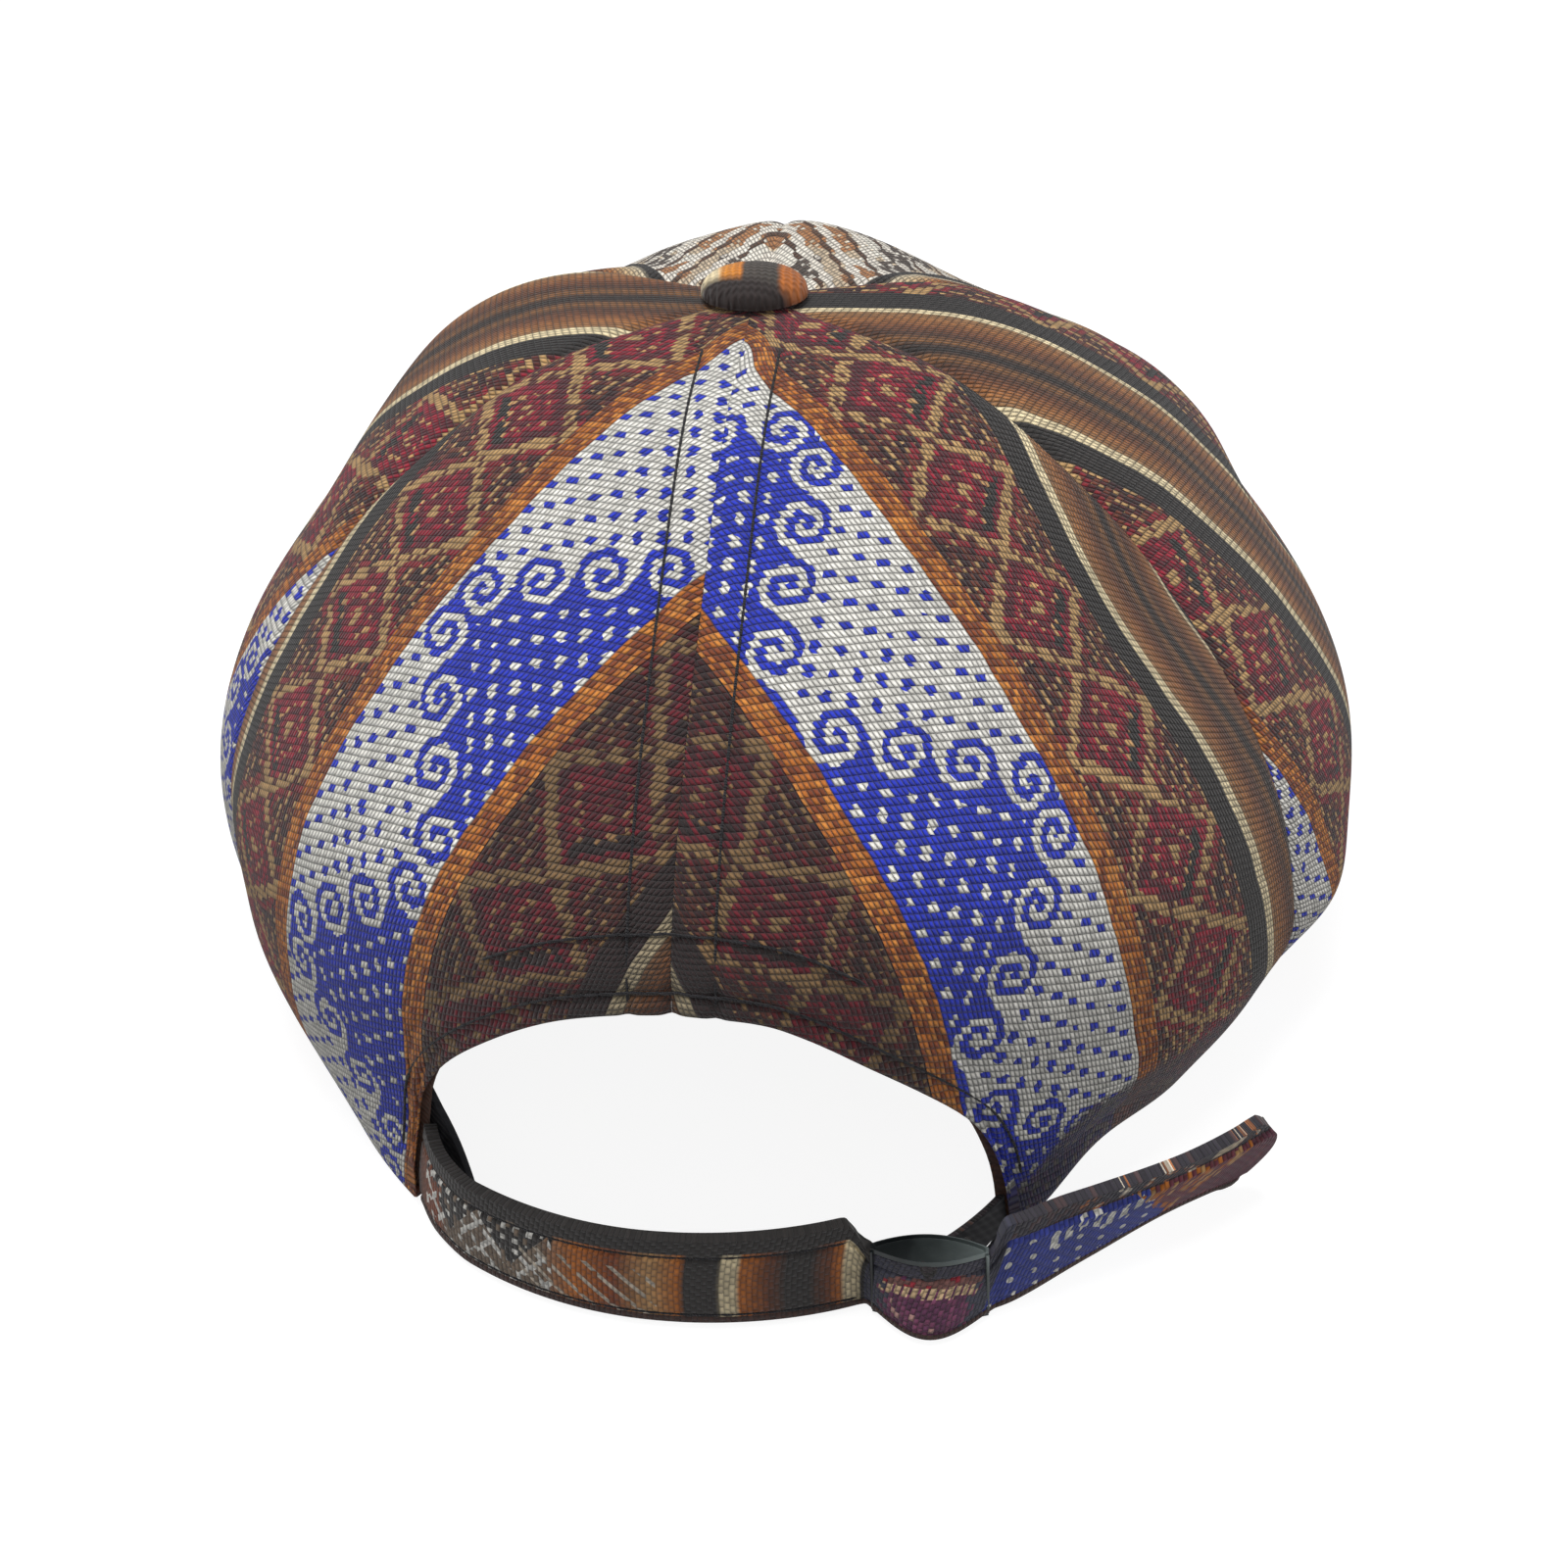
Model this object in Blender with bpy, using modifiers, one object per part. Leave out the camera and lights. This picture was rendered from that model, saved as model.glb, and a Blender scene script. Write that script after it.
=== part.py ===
"""A soft six-panel cap of woven cloth, with a strap and a metal slide across the arch at its back.

Metres, +Z up. The origin is the middle of the head opening on the surface that the cap rests on.
The back faces -Y and the peak points to +Y. Angles run from the back (0) towards +X, in degrees.
"""

import math

import bmesh
import bpy
from mathutils import Vector

# Sizes of the crown
RIM_HALF_WIDTH = 0.0855
RIM_HALF_DEPTH = 0.1002
CROWN_HEIGHT = 0.113
CROWN_CENTRE = 0.016
FRONT_FULLNESS = 2.2
BACK_FULLNESS = 1.92
BUTTON_ASIDE = -0.0018
BUTTON_AHEAD = 0.008
SEAM_ANGLE = 65.0
FRONT_SEAM_ANGLE = 122.0
SEAM_VALLEY = 0.0013
SEAM_SPREAD = 6.0
CLOTH = 0.002
GAP = 0.0003
RIM_CLEARANCE = 0.0004

# Sizes of the arch, the band, the button and the peak
ARCH_ANGLE = 27.0
ARCH_HEIGHT = 0.0545
BAND_HEIGHT = 0.028
BAND_THICKNESS = 0.0012
BAND_LEFT_END = 21.3
BAND_RIGHT_END = 26.0
BAND_FOOT = 0.002
BUTTON_RADIUS = 0.0085
BUTTON_HEIGHT = 0.005
BUTTON_HOLE = 0.0034
PEAK_REACH = 0.068
PEAK_HALF_WIDTH = 0.078
PEAK_ANGLE = 58.0
PEAK_THICKNESS = 0.0026
PEAK_CAMBER = 0.013
PEAK_DROOP = 0.3

# Sizes of the strap, its slide and its tab
STRAP_HEIGHT = 0.017
STRAP_THICKNESS = 0.002
TAIL_LENGTH = 0.051
TAIL_LEAN = 0.0095
SLIDE_ANGLE = 18.25
SLIDE_OUT = 0.0059
SLIDE_TURN = 2.3
SLIDE_WIDTH = 0.0198
HUMP_DEPTH = 0.006
FLANGE = 0.0009
POST_RADIUS = 0.0006
BAR_RADIUS = 0.0009
TAB_HEIGHT = 0.015
TAB_THICKNESS = 0.0012
TAB_RETURN = 0.009

# The crown's sections: rise along the wall, then shares of its height and of its reach to each side
SECTION_COLUMNS = ("rise", "height", "side", "back", "front")
SECTIONS = (
    (0.00, 0.000, 1.000, 1.000, 1.00),
    (0.12, 0.122, 1.129, 0.939, 1.00),
    (0.25, 0.244, 1.181, 0.935, 1.01),
    (0.38, 0.400, 1.145, 0.958, 1.01),
    (0.52, 0.559, 1.043, 0.932, 0.98),
    (0.66, 0.698, 0.907, 0.799, 0.88),
    (0.79, 0.837, 0.723, 0.576, 0.67),
    (0.90, 0.965, 0.416, 0.308, 0.385),
    (1.00, 1.000, 0.000, 0.000, 0.00),
)

# Dents and bulges of the soft crown: where, how far they spread, and a share of the rim's half width
# Each dent's angle, rise, spread in degrees, spread in rise, and depth
DENTS = (
    (178.0, 0.88, 24.0, 0.12, 0.047),
    (137.0, 0.85, 14.0, 0.11, -0.042),
    (118.0, 0.69, 12.0, 0.10, 0.026),
    (110.0, 0.54, 9.0, 0.07, -0.024),
    (93.0, 0.34, 18.0, 0.10, 0.014),
    (73.0, 0.20, 9.0, 0.07, 0.032),
    (37.0, 0.04, 11.0, 0.07, -0.018),
    (-62.0, 0.26, 13.0, 0.10, -0.021),
    (-94.0, 0.60, 12.0, 0.09, -0.028),
    (-113.0, 0.80, 12.0, 0.09, 0.048),
    (-137.0, 0.88, 10.0, 0.10, -0.024),
)

# The arch's edge: how far round it is from the seam, and how high, as shares of its half angle and height
ARCH_COLUMNS = ("along", "left", "right", "height")
ARCH = (
    (0.00, 0.00, 0.00, 1.000),
    (0.15, -0.20, 0.22, 0.982),
    (0.30, -0.38, 0.36, 0.925),
    (0.45, -0.58, 0.53, 0.805),
    (0.60, -0.76, 0.71, 0.650),
    (0.72, -0.89, 0.87, 0.480),
    (0.82, -0.95, 0.95, 0.320),
    (0.91, -0.99, 0.99, 0.160),
    (1.00, -1.00, 1.00, 0.000),
)

# How the cloth lies round the strap's free end: the way it heads and the share of the full lean
TAIL_COLUMNS = ("along", "heading", "lean")
TAIL = (
    (0.00, 20.0, 0.00),
    (0.12, 34.0, 0.25),
    (0.35, 36.0, 0.68),
    (0.65, 38.0, 1.00),
    (1.00, 41.0, 0.85),
)

BACK_REACH = RIM_HALF_DEPTH + CROWN_CENTRE
FRONT_REACH = RIM_HALF_DEPTH - CROWN_CENTRE
STRAP_BOTTOM = FLANGE + GAP
WALL_LAYER = max(CLOTH, STRAP_THICKNESS)
BAND_LAYER = WALL_LAYER + GAP


def clear_scene():
    for old in list(bpy.data.objects):
        bpy.data.objects.remove(old, do_unlink=True)


def new_collection(name):
    collection = bpy.data.collections.new(name)
    bpy.context.scene.collection.children.link(collection)
    return collection


def finish_of(name, colour, roughness, metallic=0.0):
    material = bpy.data.materials.new(name)
    material.use_nodes = True
    surface = material.node_tree.nodes["Principled BSDF"]
    surface.inputs["Base Color"].default_value = (*colour, 1.0)
    surface.inputs["Roughness"].default_value = roughness
    surface.inputs["Metallic"].default_value = metallic
    return material


def read_table(rows, columns, name, along):
    """A column's value at a place along the table, on a smooth curve through the rows."""
    column = columns.index(name)
    places = [row[0] for row in rows]
    values = [row[column] for row in rows]
    last = len(rows) - 1
    along = min(max(along, places[0]), places[last])
    first = 0
    while first < last - 1 and along > places[first + 1]:
        first += 1

    def slope(row):
        before = max(row - 1, 0)
        after = min(row + 1, last)
        return (values[after] - values[before]) / (places[after] - places[before])

    span = places[first + 1] - places[first]
    share = (along - places[first]) / span
    start_slope = slope(first) * span
    end_slope = slope(first + 1) * span
    cubed = share**3
    squared = share**2
    return (
        (2 * cubed - 3 * squared + 1) * values[first]
        + (cubed - 2 * squared + share) * start_slope
        + (3 * squared - 2 * cubed) * values[first + 1]
        + (cubed - squared) * end_slope
    )


def turn_between(angle, other):
    return (angle - other + 180.0) % 360.0 - 180.0


def smooth(share):
    share = min(max(share, 0.0), 1.0)
    return share * share * (3 - 2 * share)


def rim_radius(angle, side, back, front):
    """Distance from the crown's centre line to its wall, on an egg with a pointed back."""
    radians = math.radians(angle)
    backward = smooth(0.5 + 0.5 * math.cos(radians))
    reach = back * backward + front * (1 - backward)
    fullness = FRONT_FULLNESS + (BACK_FULLNESS - FRONT_FULLNESS) * backward
    across = abs(math.sin(radians)) / side
    along = abs(math.cos(radians)) / reach
    return (across**fullness + along**fullness) ** (-1 / fullness)


def peak_top(aside, outward):
    """Height of the peak's upper face, cambered across and drooping outward."""
    camber = PEAK_CAMBER * (1 - (aside / PEAK_HALF_WIDTH) ** 2)
    return PEAK_THICKNESS + GAP + max(camber, 0.0) * (1 - PEAK_DROOP * outward)


def rim_lift(angle):
    """How far the crown's lower edge stands off the floor, over the peak."""
    from_front = abs(turn_between(angle, 180.0))
    root = min(from_front, PEAK_ANGLE)
    radius = rim_radius(180.0 - root, RIM_HALF_WIDTH, BACK_REACH, FRONT_REACH)
    aside = radius * math.sin(math.radians(root))
    fade = 1 - smooth((from_front - PEAK_ANGLE - 2.0) / 16.0)
    return (peak_top(aside, 0.0) + GAP) * fade


def crown_radius(angle, rise):
    side = RIM_HALF_WIDTH * read_table(SECTIONS, SECTION_COLUMNS, "side", rise)
    back = BACK_REACH * read_table(SECTIONS, SECTION_COLUMNS, "back", rise)
    front = FRONT_REACH * read_table(SECTIONS, SECTION_COLUMNS, "front", rise)
    return rim_radius(angle, max(side, 1e-5), max(back, 1e-5), max(front, 1e-5))


def dent_depth(angle, rise):
    depth = 0.0
    for middle, level, angle_spread, rise_spread, share in DENTS:
        aside = turn_between(angle, middle) / angle_spread
        above = (rise - level) / rise_spread
        depth += share * RIM_HALF_WIDTH * math.exp(-aside * aside - above * above)
    return depth * smooth((0.98 - rise) / 0.1) * smooth(rise / 0.06)


def seam_depth(angle, rise):
    seams = (0.0, SEAM_ANGLE, -SEAM_ANGLE, FRONT_SEAM_ANGLE, -FRONT_SEAM_ANGLE, 180.0)
    nearest = min(abs(turn_between(angle, seam)) for seam in seams)
    fade = smooth((1 - rise) / 0.25) * smooth(rise / 0.1)
    return SEAM_VALLEY * math.exp(-((nearest / SEAM_SPREAD) ** 2)) * fade


def crown_point(angle, rise):
    """A point on the outer face of the crown. A dent moves a steep wall sideways and a flat top up."""
    radians = math.radians(angle)
    push = dent_depth(angle, rise) - seam_depth(angle, rise)
    upward = smooth((rise - 0.55) / 0.35)
    radius = crown_radius(angle, rise) + push * (1 - upward)
    height = CROWN_HEIGHT * read_table(SECTIONS, SECTION_COLUMNS, "height", rise)
    height += push * upward + (rim_lift(angle) + RIM_CLEARANCE) * (1 - rise) ** 2
    return Vector((
        radius * math.sin(radians) + BUTTON_ASIDE * rise**2,
        CROWN_CENTRE - radius * math.cos(radians) + BUTTON_AHEAD * rise**2,
        height,
    ))


def rise_at_height(height):
    """The rise at which the wall reaches a height, found by halving."""
    low, high = 0.0, 1.0
    for _ in range(30):
        middle = (low + high) / 2
        if CROWN_HEIGHT * read_table(SECTIONS, SECTION_COLUMNS, "height", middle) < height:
            low = middle
        else:
            high = middle
    return low


def top_rise():
    """The rise at which the panels end, round the hole under the button."""
    low, high = 0.9, 1.0
    for _ in range(30):
        middle = (low + high) / 2
        if crown_radius(0.0, middle) > BUTTON_HOLE:
            low = middle
        else:
            high = middle
    return low


def add_sheet(name, rows, collection, finish, thickness, bevel=0.0):
    """A solid from rows of points on its outer face, thickened inwards."""
    mesh = bpy.data.meshes.new(name)
    grid = bmesh.new()
    points = [[grid.verts.new(point) for point in row] for row in rows]
    for lower, upper in zip(points, points[1:]):
        for left in range(len(lower) - 1):
            grid.faces.new((lower[left], lower[left + 1], upper[left + 1], upper[left]))
    grid.to_mesh(mesh)
    grid.free()
    sheet = bpy.data.objects.new(name, mesh)
    collection.objects.link(sheet)
    mesh.materials.append(finish)
    mesh.shade_smooth()
    wall = sheet.modifiers.new("wall", "SOLIDIFY")
    wall.thickness = thickness
    wall.offset = -1.0
    if bevel:
        edge = sheet.modifiers.new("edge", "BEVEL")
        edge.width = bevel
        edge.segments = 1
        edge.limit_method = "ANGLE"
        edge.angle_limit = math.radians(50)
    return sheet


def seam_inset(angle, rise):
    """Half the gap between two panels, as an angle."""
    return math.degrees(GAP / 2 / max(crown_radius(angle, rise), 1e-4))


def add_panel(name, first_angle, last_angle, lower_edge, columns, finish, collection):
    """One gore of the crown. lower_edge gives the angle and rise of its edge for a share across it."""
    level_count = 15
    straighten = 1.3
    top = top_rise()
    rows = []
    for level in range(level_count + 1):
        up = level / level_count
        row = []
        for column in range(columns + 1):
            across = column / columns
            low_angle, low_rise = lower_edge(across)
            high_angle = first_angle + (last_angle - first_angle) * across
            rise = low_rise + (top - low_rise) * up
            angle = low_angle + (high_angle - low_angle) * smooth(up * straighten)
            inset = seam_inset(angle, rise) * (1 - 2 * across)
            row.append(crown_point(angle + inset, rise))
        rows.append(row)
    return add_sheet(name, rows, collection, finish, CLOTH)


def arch_edge(side):
    """The lower edge of a back panel: along the arch, then along the rim. side is -1 left, 1 right."""
    arch_share = 0.55
    column = "left" if side < 0 else "right"

    def edge(from_seam):
        if from_seam < arch_share:
            along = from_seam / arch_share
            angle = ARCH_ANGLE * read_table(ARCH, ARCH_COLUMNS, column, along)
            height = ARCH_HEIGHT * read_table(ARCH, ARCH_COLUMNS, "height", along)
            return angle, rise_at_height(height)
        share = (from_seam - arch_share) / (1 - arch_share)
        return side * (ARCH_ANGLE + (SEAM_ANGLE - ARCH_ANGLE) * share), 0.0

    return edge


def add_panels(collection):
    left_edge = arch_edge(-1)
    right_edge = arch_edge(1)
    blue = finish_of("blue and white cloth", (0.05, 0.09, 0.36), 0.9)
    red = finish_of("crimson and beige cloth", (0.27, 0.05, 0.06), 0.9)
    cream = finish_of("cream and brown cloth", (0.45, 0.36, 0.24), 0.9)
    add_panel("panel_back_left", -SEAM_ANGLE, 0.0, lambda share: left_edge(1 - share), 20, blue, collection)
    add_panel("panel_back_right", 0.0, SEAM_ANGLE, right_edge, 20, blue, collection)
    for side, word in ((-1, "left"), (1, "right")):
        for name, start, end, cloth in (
            ("panel_side_" + word, SEAM_ANGLE, FRONT_SEAM_ANGLE, red),
            ("panel_front_" + word, FRONT_SEAM_ANGLE, 180.0, cream),
        ):
            first, last = sorted((side * start, side * end))

            def rim(share, first=first, last=last):
                return first + (last - first) * share, 0.0

            add_panel(name, first, last, rim, 12, cloth, collection)


def rim_point(angle, inward, height):
    """A point at a height, straight above the rim's outer edge moved inward."""
    radians = math.radians(angle)
    radius = crown_radius(angle, 0.0) - inward
    return Vector((radius * math.sin(radians), CROWN_CENTRE - radius * math.cos(radians), height))


def wall_point(angle, inward, height):
    """A point at a height inside the crown's wall, which never stands outside the rim's own line."""
    top = rise_at_height(height)
    centre = Vector((0.0, CROWN_CENTRE, 0.0))
    below = [crown_point(angle, top * share) - centre for share in (0.0, 0.25, 0.5, 0.75, 1.0)]
    radius = min(math.hypot(wall.x, wall.y) for wall in below) - inward
    radians = math.radians(angle)
    return Vector((radius * math.sin(radians), CROWN_CENTRE - radius * math.cos(radians), height))


def add_band(collection):
    """The band inside the rim. Its foot stands upright, and its left end shows past the arch."""
    steps = 60
    levels = 5
    slant_allowance = 0.1 * WALL_LAYER
    rows = []
    for level in range(levels + 1):
        height = BAND_FOOT + (BAND_HEIGHT - BAND_FOOT) * max(level - 1, 0) / (levels - 1)
        row = []
        for step in range(steps + 1):
            angle = BAND_RIGHT_END + (360 - BAND_LEFT_END - BAND_RIGHT_END) * step / steps
            point = wall_point(angle, BAND_LAYER + slant_allowance, height)
            if level == 0:
                point.z = 0.0
            row.append(point)
        rows.append(row)
    black = finish_of("black band cloth", (0.012, 0.012, 0.016), 0.85)
    add_sheet("sweatband", rows, collection, black, BAND_THICKNESS)


def add_peak(collection):
    """The peak, from its root under the crown's front edge to its round outer edge."""
    across_steps = 26
    outward_steps = 8
    corner_step = 0.003
    front_roundness = 0.85
    root_inset = 0.4 * CLOTH
    corner = rim_point(180 - PEAK_ANGLE, root_inset, 0.0)
    front = rim_point(180, 0.0, 0.0).y + PEAK_REACH
    rows = []
    for outward_step in range(outward_steps + 1):
        outward = outward_step / outward_steps
        row = []
        for step in range(across_steps + 1):
            sweep = -1 + 2 * step / across_steps
            root = rim_point(180 - PEAK_ANGLE * sweep, root_inset, 0.0)
            turn = math.radians(90 * sweep)
            rounding = max(math.cos(turn), 0.0) ** front_roundness
            half_width = corner.x + (PEAK_HALF_WIDTH - corner.x) * min(1.0, 4 * rounding)
            side_y = corner.y + corner_step
            tip = Vector((half_width * math.sin(turn), side_y + (front - side_y) * rounding, 0.0))
            point = root.lerp(tip, outward)
            point.z = peak_top(point.x, outward)
            row.append(point)
        rows.append(row)
    brown = finish_of("plain brown peak cloth", (0.10, 0.045, 0.022), 0.9)
    add_sheet("peak", rows, collection, brown, PEAK_THICKNESS, bevel=0.0006)


def add_button(collection):
    """A cloth-covered dome on the crown's top."""
    profile = [Vector((0.0, 0.0, BUTTON_HEIGHT))]
    steps = 8
    for step in range(1, steps + 1):
        turn = math.radians(90) * step / steps
        profile.append(Vector((BUTTON_RADIUS * math.sin(turn), 0.0, BUTTON_HEIGHT * math.cos(turn) ** 0.8)))
    profile.append(Vector((0.0, 0.0, 0.0)))
    mesh = bpy.data.meshes.new("button")
    edges = [(index, index + 1) for index in range(len(profile) - 1)]
    mesh.from_pydata([tuple(point) for point in profile], edges, [])
    button = bpy.data.objects.new("button", mesh)
    collection.objects.link(button)
    mesh.materials.append(finish_of("orange and black button cloth", (0.30, 0.12, 0.03), 0.9))
    turned = button.modifiers.new("turned", "SCREW")
    turned.steps = 28
    turned.render_steps = 28
    turned.use_merge_vertices = True
    turned.merge_threshold = 0.00001
    turned.use_smooth_shade = True
    apex = crown_point(0.0, 1.0)
    button.location = (apex.x, apex.y, CROWN_HEIGHT + GAP)


def slide_point(share, outward):
    """A point along the slide, from its left post (0) to its right (1), moved outward."""
    turn = math.radians(SLIDE_TURN)
    along = Vector((math.cos(turn), math.sin(turn), 0.0))
    out = Vector((math.sin(turn), -math.cos(turn), 0.0))
    return rim_point(SLIDE_ANGLE, -SLIDE_OUT, 0.0) + along * SLIDE_WIDTH * (share - 0.5) + out * outward


def hump(share):
    share = min(max(share, 0.0), 1.0)
    return HUMP_DEPTH * 0.5 * (1 - math.cos(2 * math.pi * share))


def arch_corner(side, height):
    """The arch's edge at a height, a clearance inside the arch. side is -1 left, 1 right."""
    column = "left" if side < 0 else "right"
    low, high = 0.0, 1.0
    for _ in range(30):
        along = (low + high) / 2
        if ARCH_HEIGHT * read_table(ARCH, ARCH_COLUMNS, "height", along) > height:
            low = along
        else:
            high = along
    angle = ARCH_ANGLE * read_table(ARCH, ARCH_COLUMNS, column, high)
    clearance = math.degrees(2.5 * GAP / crown_radius(ARCH_ANGLE, 0.0))
    corner = crown_point(angle - side * clearance, rise_at_height(height))
    corner.z = height
    return corner


def strap_path(height):
    """Points on the strap's outer face at a height, each with its lean and its share along the tail."""
    path = []
    slide_start = slide_point(0.0, 0.0)
    last_angle = math.degrees(math.atan2(slide_start.x, CROWN_CENTRE - slide_start.y))
    corner = arch_corner(-1, height)
    first_angle = math.degrees(math.atan2(corner.x, CROWN_CENTRE - corner.y))
    step_in = slide_start.y - rim_point(last_angle, 0.0, 0.0).y
    steps = 18
    for step in range(steps):
        share = step / steps
        angle = first_angle + (last_angle - first_angle) * share
        point = rim_point(angle, 0.0, height)
        point.y += step_in * smooth((share - 0.6) / 0.4)
        point = corner.lerp(point, smooth(share / 0.2))
        path.append((point, 0.0, 0.0))
    hump_steps = 14
    for step in range(hump_steps + 1):
        share = step / hump_steps
        point = slide_point(share, hump(share))
        point.z = height
        path.append((point, 0.0, 0.0))
    tail_steps = 16
    for step in range(1, tail_steps + 1):
        share = step / tail_steps
        heading = math.radians(read_table(TAIL, TAIL_COLUMNS, "heading", share - 0.5 / tail_steps))
        point = point + Vector((math.cos(heading), math.sin(heading), 0.0)) * (TAIL_LENGTH / tail_steps)
        path.append((point, TAIL_LEAN * read_table(TAIL, TAIL_COLUMNS, "lean", share), share))
    return path


def add_strap(collection):
    """The strap, from the arch's left corner over the slide to its free rounded end."""
    levels = 5
    tip_rounding = 0.22 * STRAP_HEIGHT
    rows = []
    for level in range(levels + 1):
        up = level / levels
        path = strap_path(STRAP_BOTTOM + STRAP_HEIGHT * up)
        row = []
        for index, (point, lean, tail_share) in enumerate(path):
            before = path[max(index - 1, 0)][0]
            after = path[min(index + 1, len(path) - 1)][0]
            forward = (after - before).normalized()
            outward = Vector((forward.y, -forward.x, 0.0))
            rounding = (2 * up - 1) ** 2 * smooth((tail_share - 0.9) / 0.1) * tip_rounding
            fall = math.sqrt(max(1 - (lean / STRAP_HEIGHT) ** 2, 0.1))
            place = point + outward * (lean * (up - 0.5)) - forward * rounding
            place.z = STRAP_BOTTOM + STRAP_HEIGHT * (0.5 + (up - 0.5) * fall)
            row.append(place)
        rows.append(row)
    cloth = finish_of("brown and black strap cloth", (0.10, 0.06, 0.05), 0.9)
    add_sheet("strap", rows, collection, cloth, STRAP_THICKNESS, bevel=0.0004)


def add_tab(collection):
    """The short tab: from the arch's right corner, round the slide's back bar and back on itself."""
    bar = slide_point(0.5, bar_outward())
    loop_radius = tab_loop_radius()
    bottom = STRAP_BOTTOM + (STRAP_HEIGHT - TAB_HEIGHT) / 2
    radial = Vector((math.sin(math.radians(ARCH_ANGLE)), -math.cos(math.radians(ARCH_ANGLE)), 0.0))
    tangent = Vector((radial.y, -radial.x, 0.0))
    levels = 2
    leg_steps = 10
    turns = 10
    return_steps = 4
    rows = []
    for level in range(levels + 1):
        height = Vector((0.0, 0.0, bottom + TAB_HEIGHT * level / levels))
        start = arch_corner(1, height.z) - radial * CLOTH
        bend = start + tangent * 0.35 * (bar + height - start).length
        toward = (bar + height - bend).normalized()
        outward = Vector((-toward.y, toward.x, 0.0))
        leg_end = bar + height - outward * loop_radius
        path = []
        for step in range(leg_steps):
            share = step / leg_steps
            path.append(start.lerp(bend, share).lerp(bend.lerp(leg_end, share), share))
        for step in range(turns + 1):
            turn = math.pi * step / turns
            sweep = toward * math.sin(turn) - outward * math.cos(turn)
            path.append(bar + height + sweep * loop_radius)
        for step in range(1, return_steps + 1):
            back = TAB_RETURN * step / return_steps
            path.append(bar + height + outward * loop_radius - toward * back)
        rows.append(path)
    black = finish_of("dark tab cloth", (0.014, 0.013, 0.017), 0.85)
    add_sheet("strap_tab", rows, collection, black, TAB_THICKNESS)


def tab_loop_radius():
    """Radius of the tab's outer face where it goes round the slide's back bar."""
    return BAR_RADIUS + GAP + TAB_THICKNESS


def bar_outward():
    """How far out the back bar stands, so that the tab's loop round it clears the hump."""
    return HUMP_DEPTH - STRAP_THICKNESS - 2 * GAP - tab_loop_radius()


def add_post(name, place, radius, bottom, top, collection):
    bpy.ops.mesh.primitive_cylinder_add(vertices=20, radius=radius, depth=top - bottom)
    post = bpy.context.object
    post.name = name
    post.location = (place.x, place.y, (bottom + top) / 2)
    for old in post.users_collection:
        old.objects.unlink(post)
    collection.objects.link(post)
    return post


def add_flange(name, bottom, collection):
    """A lens-shaped plate over or under the hump."""
    end_cover = 2 * POST_RADIUS + GAP
    crest_cover = 0.0005
    back_cover = bar_outward() - BAR_RADIUS
    steps = 20
    outline = []
    for step in range(steps + 1):
        share = -0.05 + 1.1 * step / steps
        cover = crest_cover + (end_cover - crest_cover) * (1 - math.sin(math.pi * min(max(share, 0.0), 1.0)))
        outline.append(slide_point(share, hump(share) + cover))
    for step in range(steps + 1):
        share = 1.05 - 1.1 * step / steps
        inside = min(max(share, 0.0), 1.0)
        bow = 4 * inside * (1 - inside)
        outline.append(slide_point(share, GAP + bow * (back_cover - GAP)))
    curve = bpy.data.curves.new(name, "CURVE")
    curve.dimensions = "2D"
    curve.fill_mode = "BOTH"
    curve.extrude = FLANGE / 2
    spline = curve.splines.new("POLY")
    spline.points.add(len(outline) - 1)
    for control, place in zip(spline.points, outline):
        control.co = (place.x, place.y, 0.0, 1.0)
    spline.use_cyclic_u = True
    drawn = bpy.data.objects.new(name + "_outline", curve)
    collection.objects.link(drawn)
    bpy.context.view_layer.update()
    graph = bpy.context.evaluated_depsgraph_get()
    mesh = bpy.data.meshes.new_from_object(drawn.evaluated_get(graph))
    weld = bmesh.new()
    weld.from_mesh(mesh)
    bmesh.ops.remove_doubles(weld, verts=weld.verts, dist=0.000001)
    bmesh.ops.recalc_face_normals(weld, faces=weld.faces)
    weld.to_mesh(mesh)
    weld.free()
    plate = bpy.data.objects.new(name, mesh)
    plate.location = (0.0, 0.0, bottom + FLANGE / 2)
    collection.objects.link(plate)
    bpy.data.objects.remove(drawn, do_unlink=True)
    return plate


def add_slide(collection, tools):
    """The metal slide: two lens-shaped flanges joined by two end posts and the back bar."""
    top = STRAP_BOTTOM + STRAP_HEIGHT + GAP
    half_flange = FLANGE / 2
    slide = add_flange("buckle", top, collection)
    lower = add_flange("lower_flange", 0.0, tools)
    outward = POST_RADIUS + GAP
    posts = (
        ("left_post", slide_point(0.0, outward), POST_RADIUS),
        ("right_post", slide_point(1.0, outward), POST_RADIUS),
        ("back_bar", slide_point(0.5, bar_outward()), BAR_RADIUS),
    )
    joined = [lower]
    for name, place, radius in posts:
        joined.append(add_post(name, place, radius, half_flange, top + half_flange, tools))
    for tool in joined:
        tool.hide_render = True
        tool.display_type = "WIRE"
        union = slide.modifiers.new("join " + tool.name, "BOOLEAN")
        union.operation = "UNION"
        union.solver = "EXACT"
        union.object = tool
    slide.data.materials.clear()
    slide.data.materials.append(finish_of("grey metal", (0.12, 0.13, 0.13), 0.35, 1.0))


clear_scene()
cap = new_collection("woven_cap")
helpers = new_collection("cutters")
add_panels(cap)
add_button(cap)
add_band(cap)
add_peak(cap)
add_strap(cap)
add_tab(cap)
add_slide(cap, helpers)
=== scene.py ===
import math

import bmesh
import bpy
import numpy as np
from mathutils import Matrix, Vector


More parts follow.
